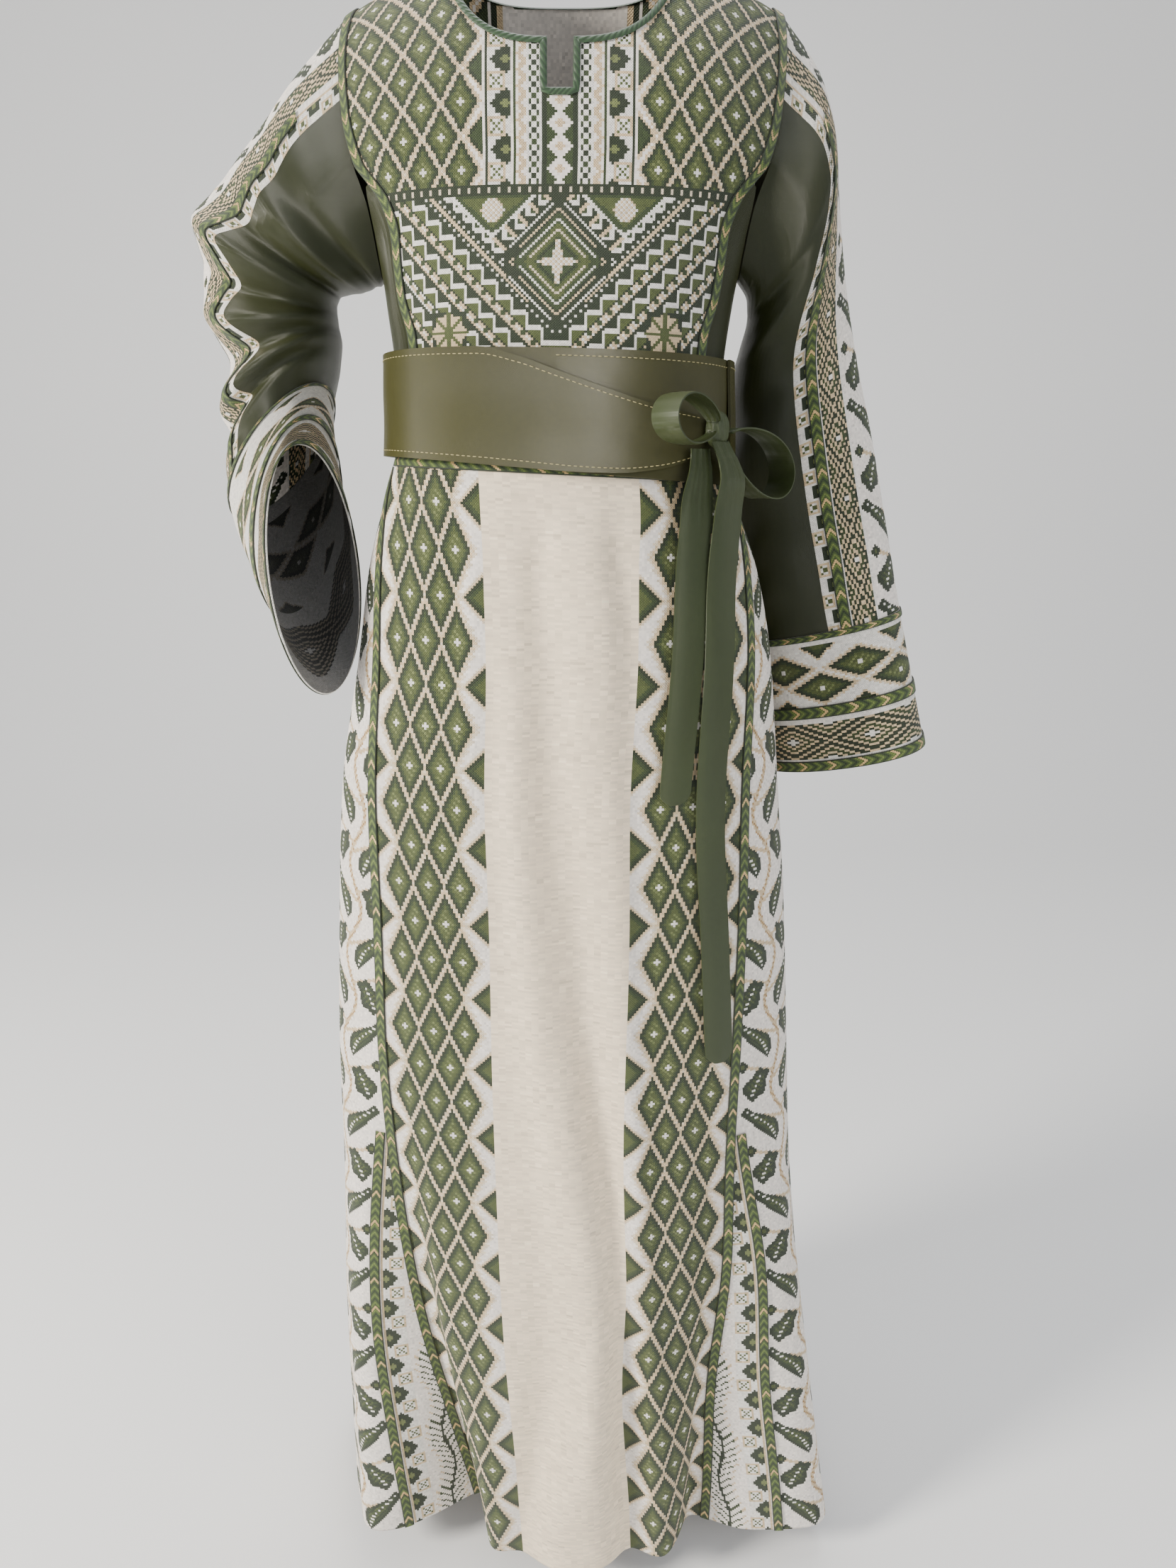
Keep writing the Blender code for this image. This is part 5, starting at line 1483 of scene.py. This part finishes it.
# A row for each section of a sleeve, from the armhole (0) to the cuff's hem (10): the points on its
# outer and inner edge, half its depth from front to back, which way that depth turns, how square it
# is, and how far its front and back bow on down the sleeve.
SLEEVE_COLUMNS = ("station", "out_x", "out_y", "out_z", "in_x", "in_y", "in_z", "depth", "turn",
                  "square", "bow")
LEFT_SLEEVE = Table(SLEEVE_COLUMNS, [
    (0.0, 0.1810, 0.000, -0.044, 0.1530, -0.030, -0.250, 0.058, 0, 2.0, 0.015),
    (1.0, 0.2120, 0.000, -0.085, 0.1610, -0.022, -0.266, 0.062, 0, 2.0, 0.022),
    (2.0, 0.2290, 0.002, -0.135, 0.1600, -0.010, -0.286, 0.063, 0, 2.0, 0.018),
    (3.0, 0.2380, 0.004, -0.185, 0.1570, 0.002, -0.305, 0.062, 0, 2.0, 0.010),
    (4.0, 0.2500, 0.006, -0.250, 0.1530, 0.014, -0.330, 0.060, 0, 2.0, 0.004),
    (5.0, 0.2640, 0.006, -0.310, 0.1500, 0.024, -0.375, 0.058, 0, 2.0, 0.000),
    (6.0, 0.2820, 0.004, -0.375, 0.1490, 0.032, -0.425, 0.057, 0, 2.0, 0.000),
    (7.0, 0.2960, 0.000, -0.435, 0.1540, 0.038, -0.475, 0.058, 0, 2.05, 0.000),
    (8.0, 0.3070, -0.004, -0.485, 0.1620, 0.046, -0.525, 0.060, 0, 2.1, 0.000),
    (9.0, 0.3180, -0.008, -0.534, 0.1720, 0.052, -0.575, 0.062, 0, 2.1, 0.000),
    (10.0, 0.3500, -0.016, -0.664, 0.1960, 0.054, -0.708, 0.068, 0, 2.2, 0.000),
])
RIGHT_SLEEVE = Table(SLEEVE_COLUMNS, [
    (0.0, -0.1810, 0.000, -0.044, -0.1530, -0.030, -0.250, 0.058, 0, 2.0, 0.015),
    (1.0, -0.2220, 0.000, -0.083, -0.1630, -0.024, -0.2545, 0.062, 0, 2.0, 0.022),
    (2.0, -0.2600, 0.004, -0.124, -0.1780, -0.017, -0.2560, 0.065, 0, 2.0, 0.018),
    (3.0, -0.2950, 0.012, -0.158, -0.1920, -0.012, -0.2570, 0.067, 0, 2.0, 0.010),
    (4.0, -0.3270, 0.022, -0.190, -0.2030, -0.010, -0.2600, 0.068, 2, 2.0, 0.004),
    (5.0, -0.3340, 0.032, -0.230, -0.2090, -0.010, -0.2680, 0.067, 4, 2.0, 0.000),
    (6.0, -0.3260, 0.036, -0.275, -0.2090, -0.014, -0.2790, 0.065, 7, 2.0, 0.000),
    (7.0, -0.3180, 0.036, -0.325, -0.2080, -0.017, -0.2930, 0.063, 11, 2.0, 0.000),
    (8.0, -0.3130, 0.033, -0.382, -0.2130, -0.020, -0.3100, 0.061, 16, 2.0, 0.000),
    (9.0, -0.3120, 0.024, -0.448, -0.2240, -0.024, -0.3330, 0.058, 22, 2.0, 0.000),
    (10.0, -0.2150, -0.100, -0.602, -0.2330, -0.066, -0.3870, 0.056, 30, 2.0, 0.000),
])

# A row for each crease that crosses a sleeve: its station, half width in stations, depth, the side
# it is deepest on (0 outer edge, 90 front, 180 inner edge) and how far round it reaches. The bent
# right arm draws the cloth in, so its creases are deeper again by RIGHT_DEEPER.
LEFT_CREASES = [
    (2.2, 0.40, -0.004, 150, 60),
    (3.4, 0.45, 0.003, 120, 60),
    (4.6, 0.40, -0.004, 160, 70),
    (5.4, 0.35, 0.003, -120, 70),
    (6.6, 0.45, -0.003, 140, 60),
]
RIGHT_CREASES = [
    (1.6, 0.35, -0.004, 130, 55),
    (2.6, 0.35, 0.003, 120, 55),
    (3.7, 0.34, -0.005, 120, 60),
    (4.5, 0.32, 0.005, 60, 60),
    (5.2, 0.32, -0.006, 80, 65),
    (5.9, 0.32, 0.006, 70, 65),
    (6.6, 0.32, -0.007, 70, 65),
    (7.3, 0.30, 0.006, 65, 65),
    (7.9, 0.30, -0.006, 75, 65),
    (8.5, 0.30, 0.003, 50, 50),
]


def armhole(side, angle):
    """The armhole, from the shoulder tip (0) round the front to the armpit (180 degrees)."""
    points = []
    pit_z = WAIST_Z + (CHEST_Z - WAIST_Z) * ARMPIT
    for turn in angle:
        z = -SHOULDER_DROP + (pit_z + SHOULDER_DROP) * (1 - math.cos(turn)) / 2
        station = (z - WAIST_Z) / (CHEST_Z - WAIST_Z)
        if z > CHEST_Z:
            climb = (z - CHEST_Z) / (-SHOULDER_DROP - CHEST_Z)
            station = 1 + math.asin(min(climb, 1)) / (math.pi / 2)
        half_width = float(PANEL_EDGE.at("armhole", station))
        place = bodice_angle(station, half_width, math.sin(turn) < 0)
        points.append(bodice_shape(station, np.array([side * place]))[0])
    return np.array(points) + np.array([side * ARMHOLE_GAP[0], 0, ARMHOLE_GAP[1]])


def sleeve_shape(table, side, creases, deeper=1.0):
    """A sleeve's shape: station along it, and an angle round it from the outer edge to the front."""
    opening = armhole(side, np.linspace(-math.pi, math.pi, SAMPLES + 1))

    def ring(station, angle):
        """A section without creases, and its middle."""
        row = dict(zip(table.columns[1:], [table.at(name, station) for name in table.columns[1:]]))
        outer = np.array([row["out_x"], row["out_y"], row["out_z"]])
        inner = np.array([row["in_x"], row["in_y"], row["in_z"]])
        turn = math.radians(row["turn"])
        forward = np.array([side * math.sin(turn), -math.cos(turn), 0])
        along = power(np.cos(angle), 2 / row["square"])[:, None]
        across = power(np.sin(angle), 2 / row["square"])[:, None]
        points = (outer + inner) / 2 + (outer - inner) / 2 * along + forward * row["depth"] * across
        ahead = np.cross(outer - inner, forward)
        points = points + side * ahead / np.linalg.norm(ahead) * row["bow"] * across ** 2
        return points, (outer + inner) / 2

    def shape(station, angle):
        """A section with its creases, which joins the armhole at station 0."""
        station = max(station, 0.0)
        points, middle = ring(station, angle)
        start = max(0.0, 1 - station / ARMHOLE_REACH)
        if start > 0:
            points = points + (opening - ring(0.0, angle)[0]) * start
        away = points - middle
        away /= np.linalg.norm(away, axis=-1, keepdims=True)
        for at, width, depth, where, reach in creases:
            swing = at + 0.35 * np.sin(angle + at)
            bump = np.exp(-((station - swing) / width) ** 2 - (around(angle, where) / reach) ** 2)
            points = points + away * (deeper * depth * bump)[:, None]
        return points
    return shape


SLEEVES = {
    "l": Shape(sleeve_shape(LEFT_SLEEVE, 1, LEFT_CREASES), 0.01),
    "r": Shape(sleeve_shape(RIGHT_SLEEVE, -1, RIGHT_CREASES, RIGHT_DEEPER), 0.01),
}


def sleeve_stations(shape, start, end, step):
    """Stations a step apart along the sleeve's outer line."""
    tried = np.linspace(start, end, 120)
    line = np.array([shape.place(station, [0.0])[0] for station in tried])
    run = run_along(line)
    return np.interp(even(0, run[-1], step), run, tried)


def cut_area(points):
    """The flat area of a cloth whose grid of points is given."""
    along, round_it = np.diff(points, axis=0)[:, :-1], np.diff(points, axis=1)[:-1]
    return float(np.linalg.norm(np.cross(along, round_it), axis=-1).sum())


def nested_strip(chart, start, width, every):
    """A stitched strip of nested diamonds, greens between gold lines, with white edges."""
    middle = start + width / 2
    dx, dy = chart.near(middle, 0, every_y=every)
    inside = np.abs(dx) <= width / 2
    reach = np.abs(dx) * 2 + np.abs(dy)
    reach = np.minimum(reach, every - reach) * DIAMOND_ROWS / every
    for limit, thread in ((18, "gold"), (15.8, "dark"), (12.4, "gold"), (10.2, "green"), (7.0, "gold"),
                          (4.8, "dark"), (2.6, "white")):
        chart.paint(inside & (reach <= limit), thread)
    chart.paint(inside & (np.abs(dx) > width / 2 - 1), "white")


STRIP_HALF = 24
TOP_LINES = np.linspace(-1, 1, 2 * int(SLEEVE_TOP_HALF / SLEEVE_PITCH) + 1)
for letter, shape in SLEEVES.items():
    stations = sleeve_stations(shape, 0.0, CUFF_START, SLEEVE_PITCH)
    half = SLEEVE_TOP_HALF - SEAM / 2
    lines = TOP_LINES * half / SLEEVE_PITCH
    chart = Chart(np.arange(len(stations) - 1) + 0.5, (lines[:-1] + lines[1:]) / 2, "ground")
    across = chart.x.copy()
    chart.x = across + STRIP_HALF
    leaf_strip(chart, STRIP_HALF, STRIP_HALF - 1)
    chart.x = np.abs(across)
    chart.paint(chart.x > STRIP_HALF, "ground")
    nested_strip(chart, STRIP_HALF, 13, 27)
    star_border(chart, 39.5, 8.0, 14)
    top = sew("sleeve_top_" + letter, shape.place, [(station, 0.0) for station in stations],
              lambda station: TOP_LINES * half, chart.colours(7), lines,
              np.arange(len(stations), dtype=float), STITCHED, "green_embroidery")
    rests = ["sleeve_under_" + letter, "bodice_front"]
    length = (len(stations) - 1) * SLEEVE_PITCH
    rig.sheet(top, (2 * SLEEVE_TOP_HALF, length), "hung", rests_on=rests, area=0.17 * length)

    layers = ([], [])
    for station in sleeve_stations(shape, 0.0, CUFF_START, 0.005):
        places = np.linspace(SLEEVE_TOP_HALF + SEAM / 2,
                             shape.girth(station) - SLEEVE_TOP_HALF - SEAM / 2, 36)
        for layer, out in zip(layers, (0.0, -SATIN_THICK)):
            layer.append(shape.place(station, places, out))
    under = lay_satin("sleeve_under_" + letter, *layers)
    cloth = np.array(layers[0])
    width = max(np.linalg.norm(np.diff(row, axis=0), axis=1).sum() for row in cloth)
    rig.sheet(under, (width, length), "hung", rests_on=rests[1:], area=cut_area(cloth))

    for end, sign in (("f", 1), ("b", -1)):
        braid_stations = sleeve_stations(shape, 0.9, CUFF_START, BRAID_STEP)
        lay_braid("sleeve_braid_" + end + letter, shape.place, braid_stations,
                  lambda station: sign * SLEEVE_BRAID_AT, 18)

# Cuffs: a wide band of linen stitched all over in lying diamonds and a border of nested ones, with
# a braid at each edge and one between. They are open at the hem, so the thread's back shows inside, darkened and
# greyed there as painted shade.
CUFF_BRAIDS = {"top": 0.0375, "mid": 0.6025, "hem": 0.96}
CUFF_BRAID_SHARE = 0.075
CUFF_STITCHES = 204
CUFF_LENGTH = 0.135
BORDER_START = 0.635
# How dark the cuff's inside is painted, as a share of its colour: painted shade.
INSIDE_SHADE = 0.22


def cuff_columns(shape):
    """Gives the distances of the stitches round a cuff at a station."""
    return lambda station: np.linspace(0, shape.girth(station), CUFF_STITCHES + 1)[:-1]


for letter, shape in SLEEVES.items():
    stations = sleeve_stations(shape, CUFF_START, CUFF_END, SLEEVE_PITCH)
    chart = Chart(np.arange(len(stations) - 1) + 0.5, np.arange(CUFF_STITCHES) + 0.5, "white")
    down, round_it = chart.y.copy(), chart.x.copy()
    high = down.max()
    band_start, band_end = 0.075 * high, 0.565 * high
    middle = (band_start + band_end) / 2
    inside = (down > band_start) & (down < band_end)
    chart.x, chart.y = down, round_it
    for shift, along in ((-4.5, 0), (4.5, DIAMOND_ROWS / 2)):
        dx, dy = chart.near(middle + shift, along, every_y=DIAMOND_ROWS)
        reach = np.abs(dx) + np.abs(dy) / 2
        chart.paint(inside & (reach <= 8.4), "gold")
        chart.paint(inside & (reach > 7.4) & (reach <= 8.4) & ((down + round_it) % 2 < 1), "beige")
        diamonds(chart, dx, dy, inside)
    for edge, along in ((band_start, DIAMOND_ROWS / 2), (band_end, 0)):
        dx, dy = chart.near(edge, along, every_y=DIAMOND_ROWS)
        for limit, thread in ((7.2, "gold"), (6.2, "dark"), (4.6, "green"), (3.0, "olive")):
            chart.paint(inside & (np.abs(dx) + np.abs(dy) * 0.8 <= limit), thread)
    border = Chart(down[:, 0], round_it[0], "white")
    border.x, border.y = down, round_it
    nested_strip(border, BORDER_START * high, 0.29 * high, DIAMOND_ROWS)
    chart.cells = np.where(down > BORDER_START * high, border.cells, chart.cells)
    outer_colours = chart.colours(9)
    # The inside: the thread's back, darkened and half greyed as painted shade.
    back = chart.colours(10, INSIDE_SHADE)
    grey = back[..., :3].mean(-1, keepdims=True)
    back[..., :3] = 0.5 * back[..., :3] + 0.5 * grey
    turn = np.concatenate([[outer_colours[-1]], back[::-1], [outer_colours[0]]])
    colours = np.concatenate([outer_colours, turn])
    rows = [(station, 0.0) for station in stations] + [(station, -CLOTH) for station in stations[::-1]]
    points = np.array([shape.place(station, cuff_columns(shape)(station), out) for station, out in rows])
    raised = shape.place(stations[5], [0.0], 0.001)[0] - points[5, 0]
    cuff = lay_grid("cuff_" + letter, points, colours, np.arange(CUFF_STITCHES + 1.0),
                    np.arange(len(rows) + 1.0), STITCHED, closed=True,
                    flip=faces_in(points, 5, 0, raised))
    dress(cuff, "cuff_" + letter, "green_embroidery")
    girth = shape.girth((CUFF_START + CUFF_END) / 2)
    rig.sheet(cuff, (girth, CUFF_LENGTH), "hung", rests_on=["sleeve_top_" + letter])
    for place, share in CUFF_BRAIDS.items():
        def round_cuff(turned, offsets, outs):
            along = CUFF_START + share + offsets * CUFF_BRAID_SHARE / BRAID_WIDTH
            return np.array([shape.place(station, [turned * shape.girth(station)], out)[0]
                             for station, out in zip(along, np.broadcast_to(outs, along.shape))])

        lay_braid("cuff_braid_%s_%s" % (place, letter), round_cuff,
                  even(0.0, 1.0, BRAID_STEP / girth), lambda turned: 0.0, 18)


# Sash: satin wound twice round the waist, the second turn with its slanted edge in front. Both
# edges are turned in and held by a line of pale gold running stitches.
BELT = 0.0022
BELT_OUT = 0.0044
WRAP_OUT = BELT_OUT + BELT + 0.0008
WRAP = 0.0016
BELT_STEP = 0.005
BELT_HEIGHT = 0.095
BELT_LOW = -0.410
BELT_TOP = -0.318
WRAP_FROM = -35 / 44
WRAP_TO = 7 / 44
SHOWN_TO = 9 / 44
STITCH_EVERY = 0.0046
STITCH_LONG = 0.62 * STITCH_EVERY
STITCH_INSET = 0.06
STITCH_WIDE = 0.00034
STITCH_HIGH = 0.0004

# The second turn of the sash: a row for each place along it, from the knot back round the wearer's
# right side, with the heights of its lower and upper edge as shares of the belt's height.
WRAP_EDGE = Table(("distance", "low", "high"), [
    (-0.700, 0.00, 1.00),
    (-0.060, 0.00, 1.00),
    (-0.030, 0.00, 0.93),
    (0.000, 0.00, 0.82),
    (0.045, 0.02, 0.67),
    (0.080, 0.08, 0.58),
    (0.122, 0.22, 0.52),
])


def belt_shape(share, angle):
    """The body under the sash, from its lower edge (0) to its upper (1), which slant differently."""
    low = skirt_shape(BELT_LOW - 0.001, angle)
    high = bodice_shape((BELT_TOP - WAIST_Z) / (CHEST_Z - WAIST_Z), angle)
    points = low + (high - low) * share
    x = points[:, 0]
    points[:, 2] = (BELT_LOW - 0.085 * x) * (1 - share) + (BELT_TOP - 0.020 * x) * share
    return points


BELT_SHAPE = Shape(belt_shape, 0.01)
belt_girth = BELT_SHAPE.girth(0.5)
SASH = satin("sash_satin", "2E2F14", "4A471B", 0.004)


def drawn_in(distance, height):
    """How far the sash sinks in its long soft folds."""
    slant = 1.1 * height + 2.2 * distance + 0.5 * np.sin(distance * 7)
    return 0.0010 * (0.5 + 0.5 * np.sin(2 * math.pi * slant)) * height * (1 - height) * 4


def wrap_height(distance, share):
    """Height on the sash of a share of the second turn's own width."""
    low = float(WRAP_EDGE.at("low", distance))
    high = float(WRAP_EDGE.at("high", distance))
    return low + (high - low) * share


def belt_point(distance, height, out):
    """A point of the sash: distance round it at its middle height, share of its height, and out."""
    scaled = distance * BELT_SHAPE.girth(height) / belt_girth
    return BELT_SHAPE.place(height, [scaled], out)[0]


belt_places = np.arange(0, belt_girth - BELT_STEP / 2, belt_girth / round(belt_girth / BELT_STEP))
layers = ([], [])
for height in np.linspace(0, 1, 24):
    places = belt_places * BELT_SHAPE.girth(height) / belt_girth
    sunk = drawn_in(belt_places, height)
    layers[0].append(BELT_SHAPE.place(height, places, BELT_OUT + BELT - sunk))
    layers[1].append(BELT_SHAPE.place(height, places, BELT_OUT - sunk))
belt = lay_satin("belt", *layers, finish=SASH, round_it=True)

wrap_places = np.linspace(belt_girth * WRAP_FROM, belt_girth * WRAP_TO, int(belt_girth / BELT_STEP))
layers = ([], [])
for share in np.linspace(0, 1, 24):
    heights = [wrap_height(place, share) for place in wrap_places]
    sunk = [drawn_in(place + 0.4, height) * 0.7 for place, height in zip(wrap_places, heights)]
    layers[0].append([belt_point(place, height, WRAP_OUT + WRAP + 0.0007 - down)
                      for place, height, down in zip(wrap_places, heights, sunk)])
    layers[1].append([belt_point(place, height, WRAP_OUT) for place, height in zip(wrap_places, heights)])
belt_wrap = lay_satin("belt_wrap", *layers, finish=SASH)


def gold_thread():
    """The pale gold cotton of the running stitches."""
    made, shader, nodes = new_material("pale_gold_thread")
    shade = 0.8 + 0.4 * nodes.noise(500)
    nodes.join(shader.inputs["Base Color"], shade * tuple(linear("B5AA78")))
    shader.inputs["Roughness"].default_value = 0.5
    return made


GOLD_THREAD = gold_thread()


def running_stitches(name, starts, ends, lift):
    """A line of stitches, each a small rounded bar from its start to its end."""
    points, faces = [], []
    for start, end, up in zip(starts, ends, lift):
        way = (end - start) / np.linalg.norm(end - start)
        side = np.cross(way, up)
        first = len(points)
        for place, size in ((start, 0.35), (start + 0.2 * (end - start), 1), (end - 0.2 * (end - start), 1),
                            (end, 0.35)):
            for turn in (0, 60, 120, 180, 270):
                wide, high = math.cos(math.radians(turn)), math.sin(math.radians(turn))
                points.append(place + (side * wide * STITCH_WIDE + up * high * STITCH_HIGH) * size)
        for ring in range(3):
            for k in range(5):
                a = first + ring * 5 + k
                b = first + ring * 5 + (k + 1) % 5
                faces.append((a, b, b + 5, a + 5))
        faces += [tuple(range(first + 4, first - 1, -1)), tuple(range(first + 15, first + 20))]
    piece = model(name, [tuple(point) for point in points], faces, GOLD_THREAD)
    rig.ride(piece, "root")
    return piece


def stitch_line(name, places, height_at, out):
    """Running stitches round the sash at a height for each place."""
    starts, ends, ups = [], [], []
    for place in places:
        start, end = [belt_point(point, height_at(point), out(point))
                      for point in (place, place + STITCH_LONG)]
        up = belt_point(place, height_at(place), out(place) + 0.01) - start
        starts.append(start)
        ends.append(end)
        ups.append(up / np.linalg.norm(up))
    return running_stitches(name, starts, ends, ups)


shown = np.arange(0, belt_girth * SHOWN_TO, STITCH_EVERY)
belt_stitches = stitch_line(
    "belt_stitches", shown, lambda place: 1 - STITCH_INSET,
    lambda place: BELT_OUT + BELT - drawn_in(place, 1 - STITCH_INSET) + 0.0001)
wrap_run = np.arange(wrap_places[0] + 0.003, wrap_places[-1] - 0.006, STITCH_EVERY)
wrap_lines = []
for name, share in (("wrap_stitches_low", STITCH_INSET), ("wrap_stitches_high", 1 - STITCH_INSET)):
    wrap_lines.append(stitch_line(
        name, wrap_run, lambda place: wrap_height(place, share),
        lambda place: (WRAP_OUT + WRAP + 0.0008
                       - 0.7 * drawn_in(place + 0.4, wrap_height(place, share)))))
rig.sheet(belt, (belt_girth, BELT_HEIGHT), "stretched", rests_on=["bodice_front", "skirt_front"],
         with_pieces=[belt_stitches])
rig.sheet(belt_wrap, (belt_girth * (WRAP_TO - WRAP_FROM), BELT_HEIGHT), "stretched",
         rests_on=["belt"], with_pieces=wrap_lines)

# Bow: the ends of the sash's narrow tie, knotted in front of the left hip in two loops, with a short
# and a long tail that hang down the skirt. The ends are cut with their corners off.
RIBBON_WIDTH = 0.028
RIBBON = 0.0012
KNOT_AT = (0.42, 0.128)
KNOT_HALF = (0.0115, 0.0085, 0.0145)
TAIL_ROUNDING = 0.012
BOW = satin("bow_satin", "28311A", "414B29", 0.003)

# The tails' middle lines: height, distance round the skirt and how far in front of it.
SHORT_TAIL = Table(("z", "distance", "out"), [
    (-0.3895, 0.1115, 0.016), (-0.405, 0.111, 0.0175), (-0.430, 0.109, 0.014), (-0.500, 0.108, 0.008),
    (-0.600, 0.106, 0.006), (-0.690, 0.104, 0.006)])
LONG_TAIL = Table(("z", "distance", "out"), [
    (-0.385, 0.1240, 0.0232), (-0.400, 0.1290, 0.0270), (-0.415, 0.1335, 0.0272), (-0.440, 0.1355, 0.0185),
    (-0.470, 0.135, 0.014), (-0.510, 0.135, 0.010), (-0.600, 0.136, 0.008),
    (-0.720, 0.139, 0.006), (-0.840, 0.148, 0.006), (-0.952, 0.158, 0.006)])


def knot_frame():
    """The knot's middle, and directions along the sash, up and out of it."""
    height, distance = KNOT_AT
    middle = BELT_SHAPE.place(height, distance, WRAP_OUT + WRAP + 0.0074)
    along = BELT_SHAPE.place(height, distance + 0.01) - BELT_SHAPE.place(height, distance - 0.01)
    along /= np.linalg.norm(along)
    out = np.cross(along, (0, 0, 1))
    out /= np.linalg.norm(out)
    return middle, along, np.cross(out, along), out


middle, along, up, out = knot_frame()
turns = np.linspace(0, 2 * math.pi, 61)[:-1]
rings = []
for climb in np.linspace(0.02, math.pi - 0.02, 34):
    x, y, z = np.sin(climb) * np.cos(turns), np.sin(climb) * np.sin(turns), math.cos(climb) + 0 * turns
    swell = 1 + 0.12 * np.abs(z) - 0.07 * np.cos(9 * x + 2 * z) ** 2
    swell = swell - 0.05 * np.exp(-((x - 0.2) / 0.1) ** 2)
    rings.append(middle + along * (x * KNOT_HALF[0] * swell)[:, None]
                 + out * (-y * KNOT_HALF[1] * swell)[:, None] + up * (z * KNOT_HALF[2])[:, None])
count = len(turns)
sides = [(r * count + k, r * count + (k + 1) % count,
          (r + 1) * count + (k + 1) % count, (r + 1) * count + k)
         for r in range(len(rings) - 1) for k in range(count)]
caps = [tuple(range(count)), tuple(range(len(rings) * count - 1, (len(rings) - 1) * count - 1, -1))]
knot = model("bow_knot", np.concatenate(rings).tolist(), sides + caps, BOW, turned_out=True)
dress(knot, "bow_knot", "green_satin")
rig.padded(knot, 0.9)


def bow_loop(name, side, lean, start, reach, gape, level):
    """A loop of ribbon that leaves the knot, turns back and comes in under itself. lean is its fall
    in degrees, start its distance from the knot's middle, reach its length, gape how far it stands
    open, and level how far out it lies."""
    fall = math.radians(lean)
    aim = along * (side * math.cos(fall)) - up * math.sin(fall)
    over = along * (side * math.sin(fall)) + up * math.cos(fall)
    ts = np.linspace(0, 1, 81)
    swell = np.sin(math.pi * ts)
    far = start + reach * (1 - np.cos(2 * math.pi * ts)) / 2
    rise = 0.0035 * np.cos(math.pi * ts) + gape * np.sin(2 * math.pi * ts) * (0.30 + 0.70 * swell)
    path = middle + far[:, None] * aim + rise[:, None] * over + level * out
    half = RIBBON_WIDTH / 2 * (0.36 + 0.64 * swell ** 0.6) * (1 - 0.35 * ease(ts, 0.6, 0.9))
    ahead = np.gradient(path, axis=0)
    widths = np.linspace(-1, 1, 13)
    outside, inside = [], []
    for point, way, wide, open_part in zip(path, ahead, half, swell):
        skin = np.cross(way, out)
        skin /= np.linalg.norm(skin)
        pleat = 0.0007 * (1 - open_part) * np.cos(widths * 3 * math.pi) - 0.0006 * widths ** 2 * open_part
        line = point + np.outer(widths * wide, out)
        outside.append(line + np.outer(pleat + RIBBON / 2, skin))
        inside.append(line + np.outer(pleat - RIBBON / 2, skin))
    piece = lay_satin(name, outside, inside, finish=BOW)
    length = float(np.linalg.norm(np.diff(path, axis=0), axis=1).sum())
    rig.sheet(piece, (RIBBON_WIDTH, length), "folded", rests_on=["bow_knot"],
             area=0.8 * RIBBON_WIDTH * length)


def bow_tail(name, table, rounding):
    """A tail that hangs from the knot down the skirt, gathered at its top and rounded at its end."""
    outside, inside = [], []
    top, end = table.values[-1, 0], table.values[0, 0]
    widths = np.linspace(-1, 1, 11)
    for z in np.concatenate([even(top, end + rounding, 0.004), end + rounding * np.array([0.6, 0.3, 0.0])]):
        place = float(table.at("distance", z))
        lies = float(table.at("out", z))
        cut_back = min(max((end + rounding - z) / rounding, 0), 0.94)
        half = RIBBON_WIDTH / 2 * math.sqrt(1 - cut_back ** 2) * (0.62 + 0.38 * ease(z, top, top - 0.05))
        ring = min(z, WAIST_Z - SEAM)
        lift = np.array([0, 0, z - ring])
        gather = 0.0006 * (1 - ease(z, top, top - 0.08)) * np.cos(widths * 4 * math.pi)
        curl = lies + 0.0012 * (1 - widths ** 2) * (0.5 - 0.5 * widths) + gather
        outside.append(SKIRT_SHAPE.place(ring, place + half * widths, curl + RIBBON) + lift)
        inside.append(SKIRT_SHAPE.place(ring, place + half * widths, curl) + lift)
    piece = lay_satin(name, outside, inside, finish=BOW)
    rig.sheet(piece, (RIBBON_WIDTH, top - end), "hung", rests_on=["bow_knot", "skirt_front"])


bow_loop("bow_loop_r", -1, -6, 0.0118, 0.060, 0.020, 0.006)
bow_loop("bow_loop_l", 1, 24, 0.0129, 0.085, 0.026, 0.001)
bow_tail("bow_tail_short", SHORT_TAIL, TAIL_ROUNDING)
bow_tail("bow_tail_long", LONG_TAIL, TAIL_ROUNDING)


scene_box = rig.bounds()
with open("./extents.json", "w") as sizes:
    json.dump({"cad": [list(corner) for corner in cad_box],
               "scene": [list(corner) for corner in scene_box]}, sizes)
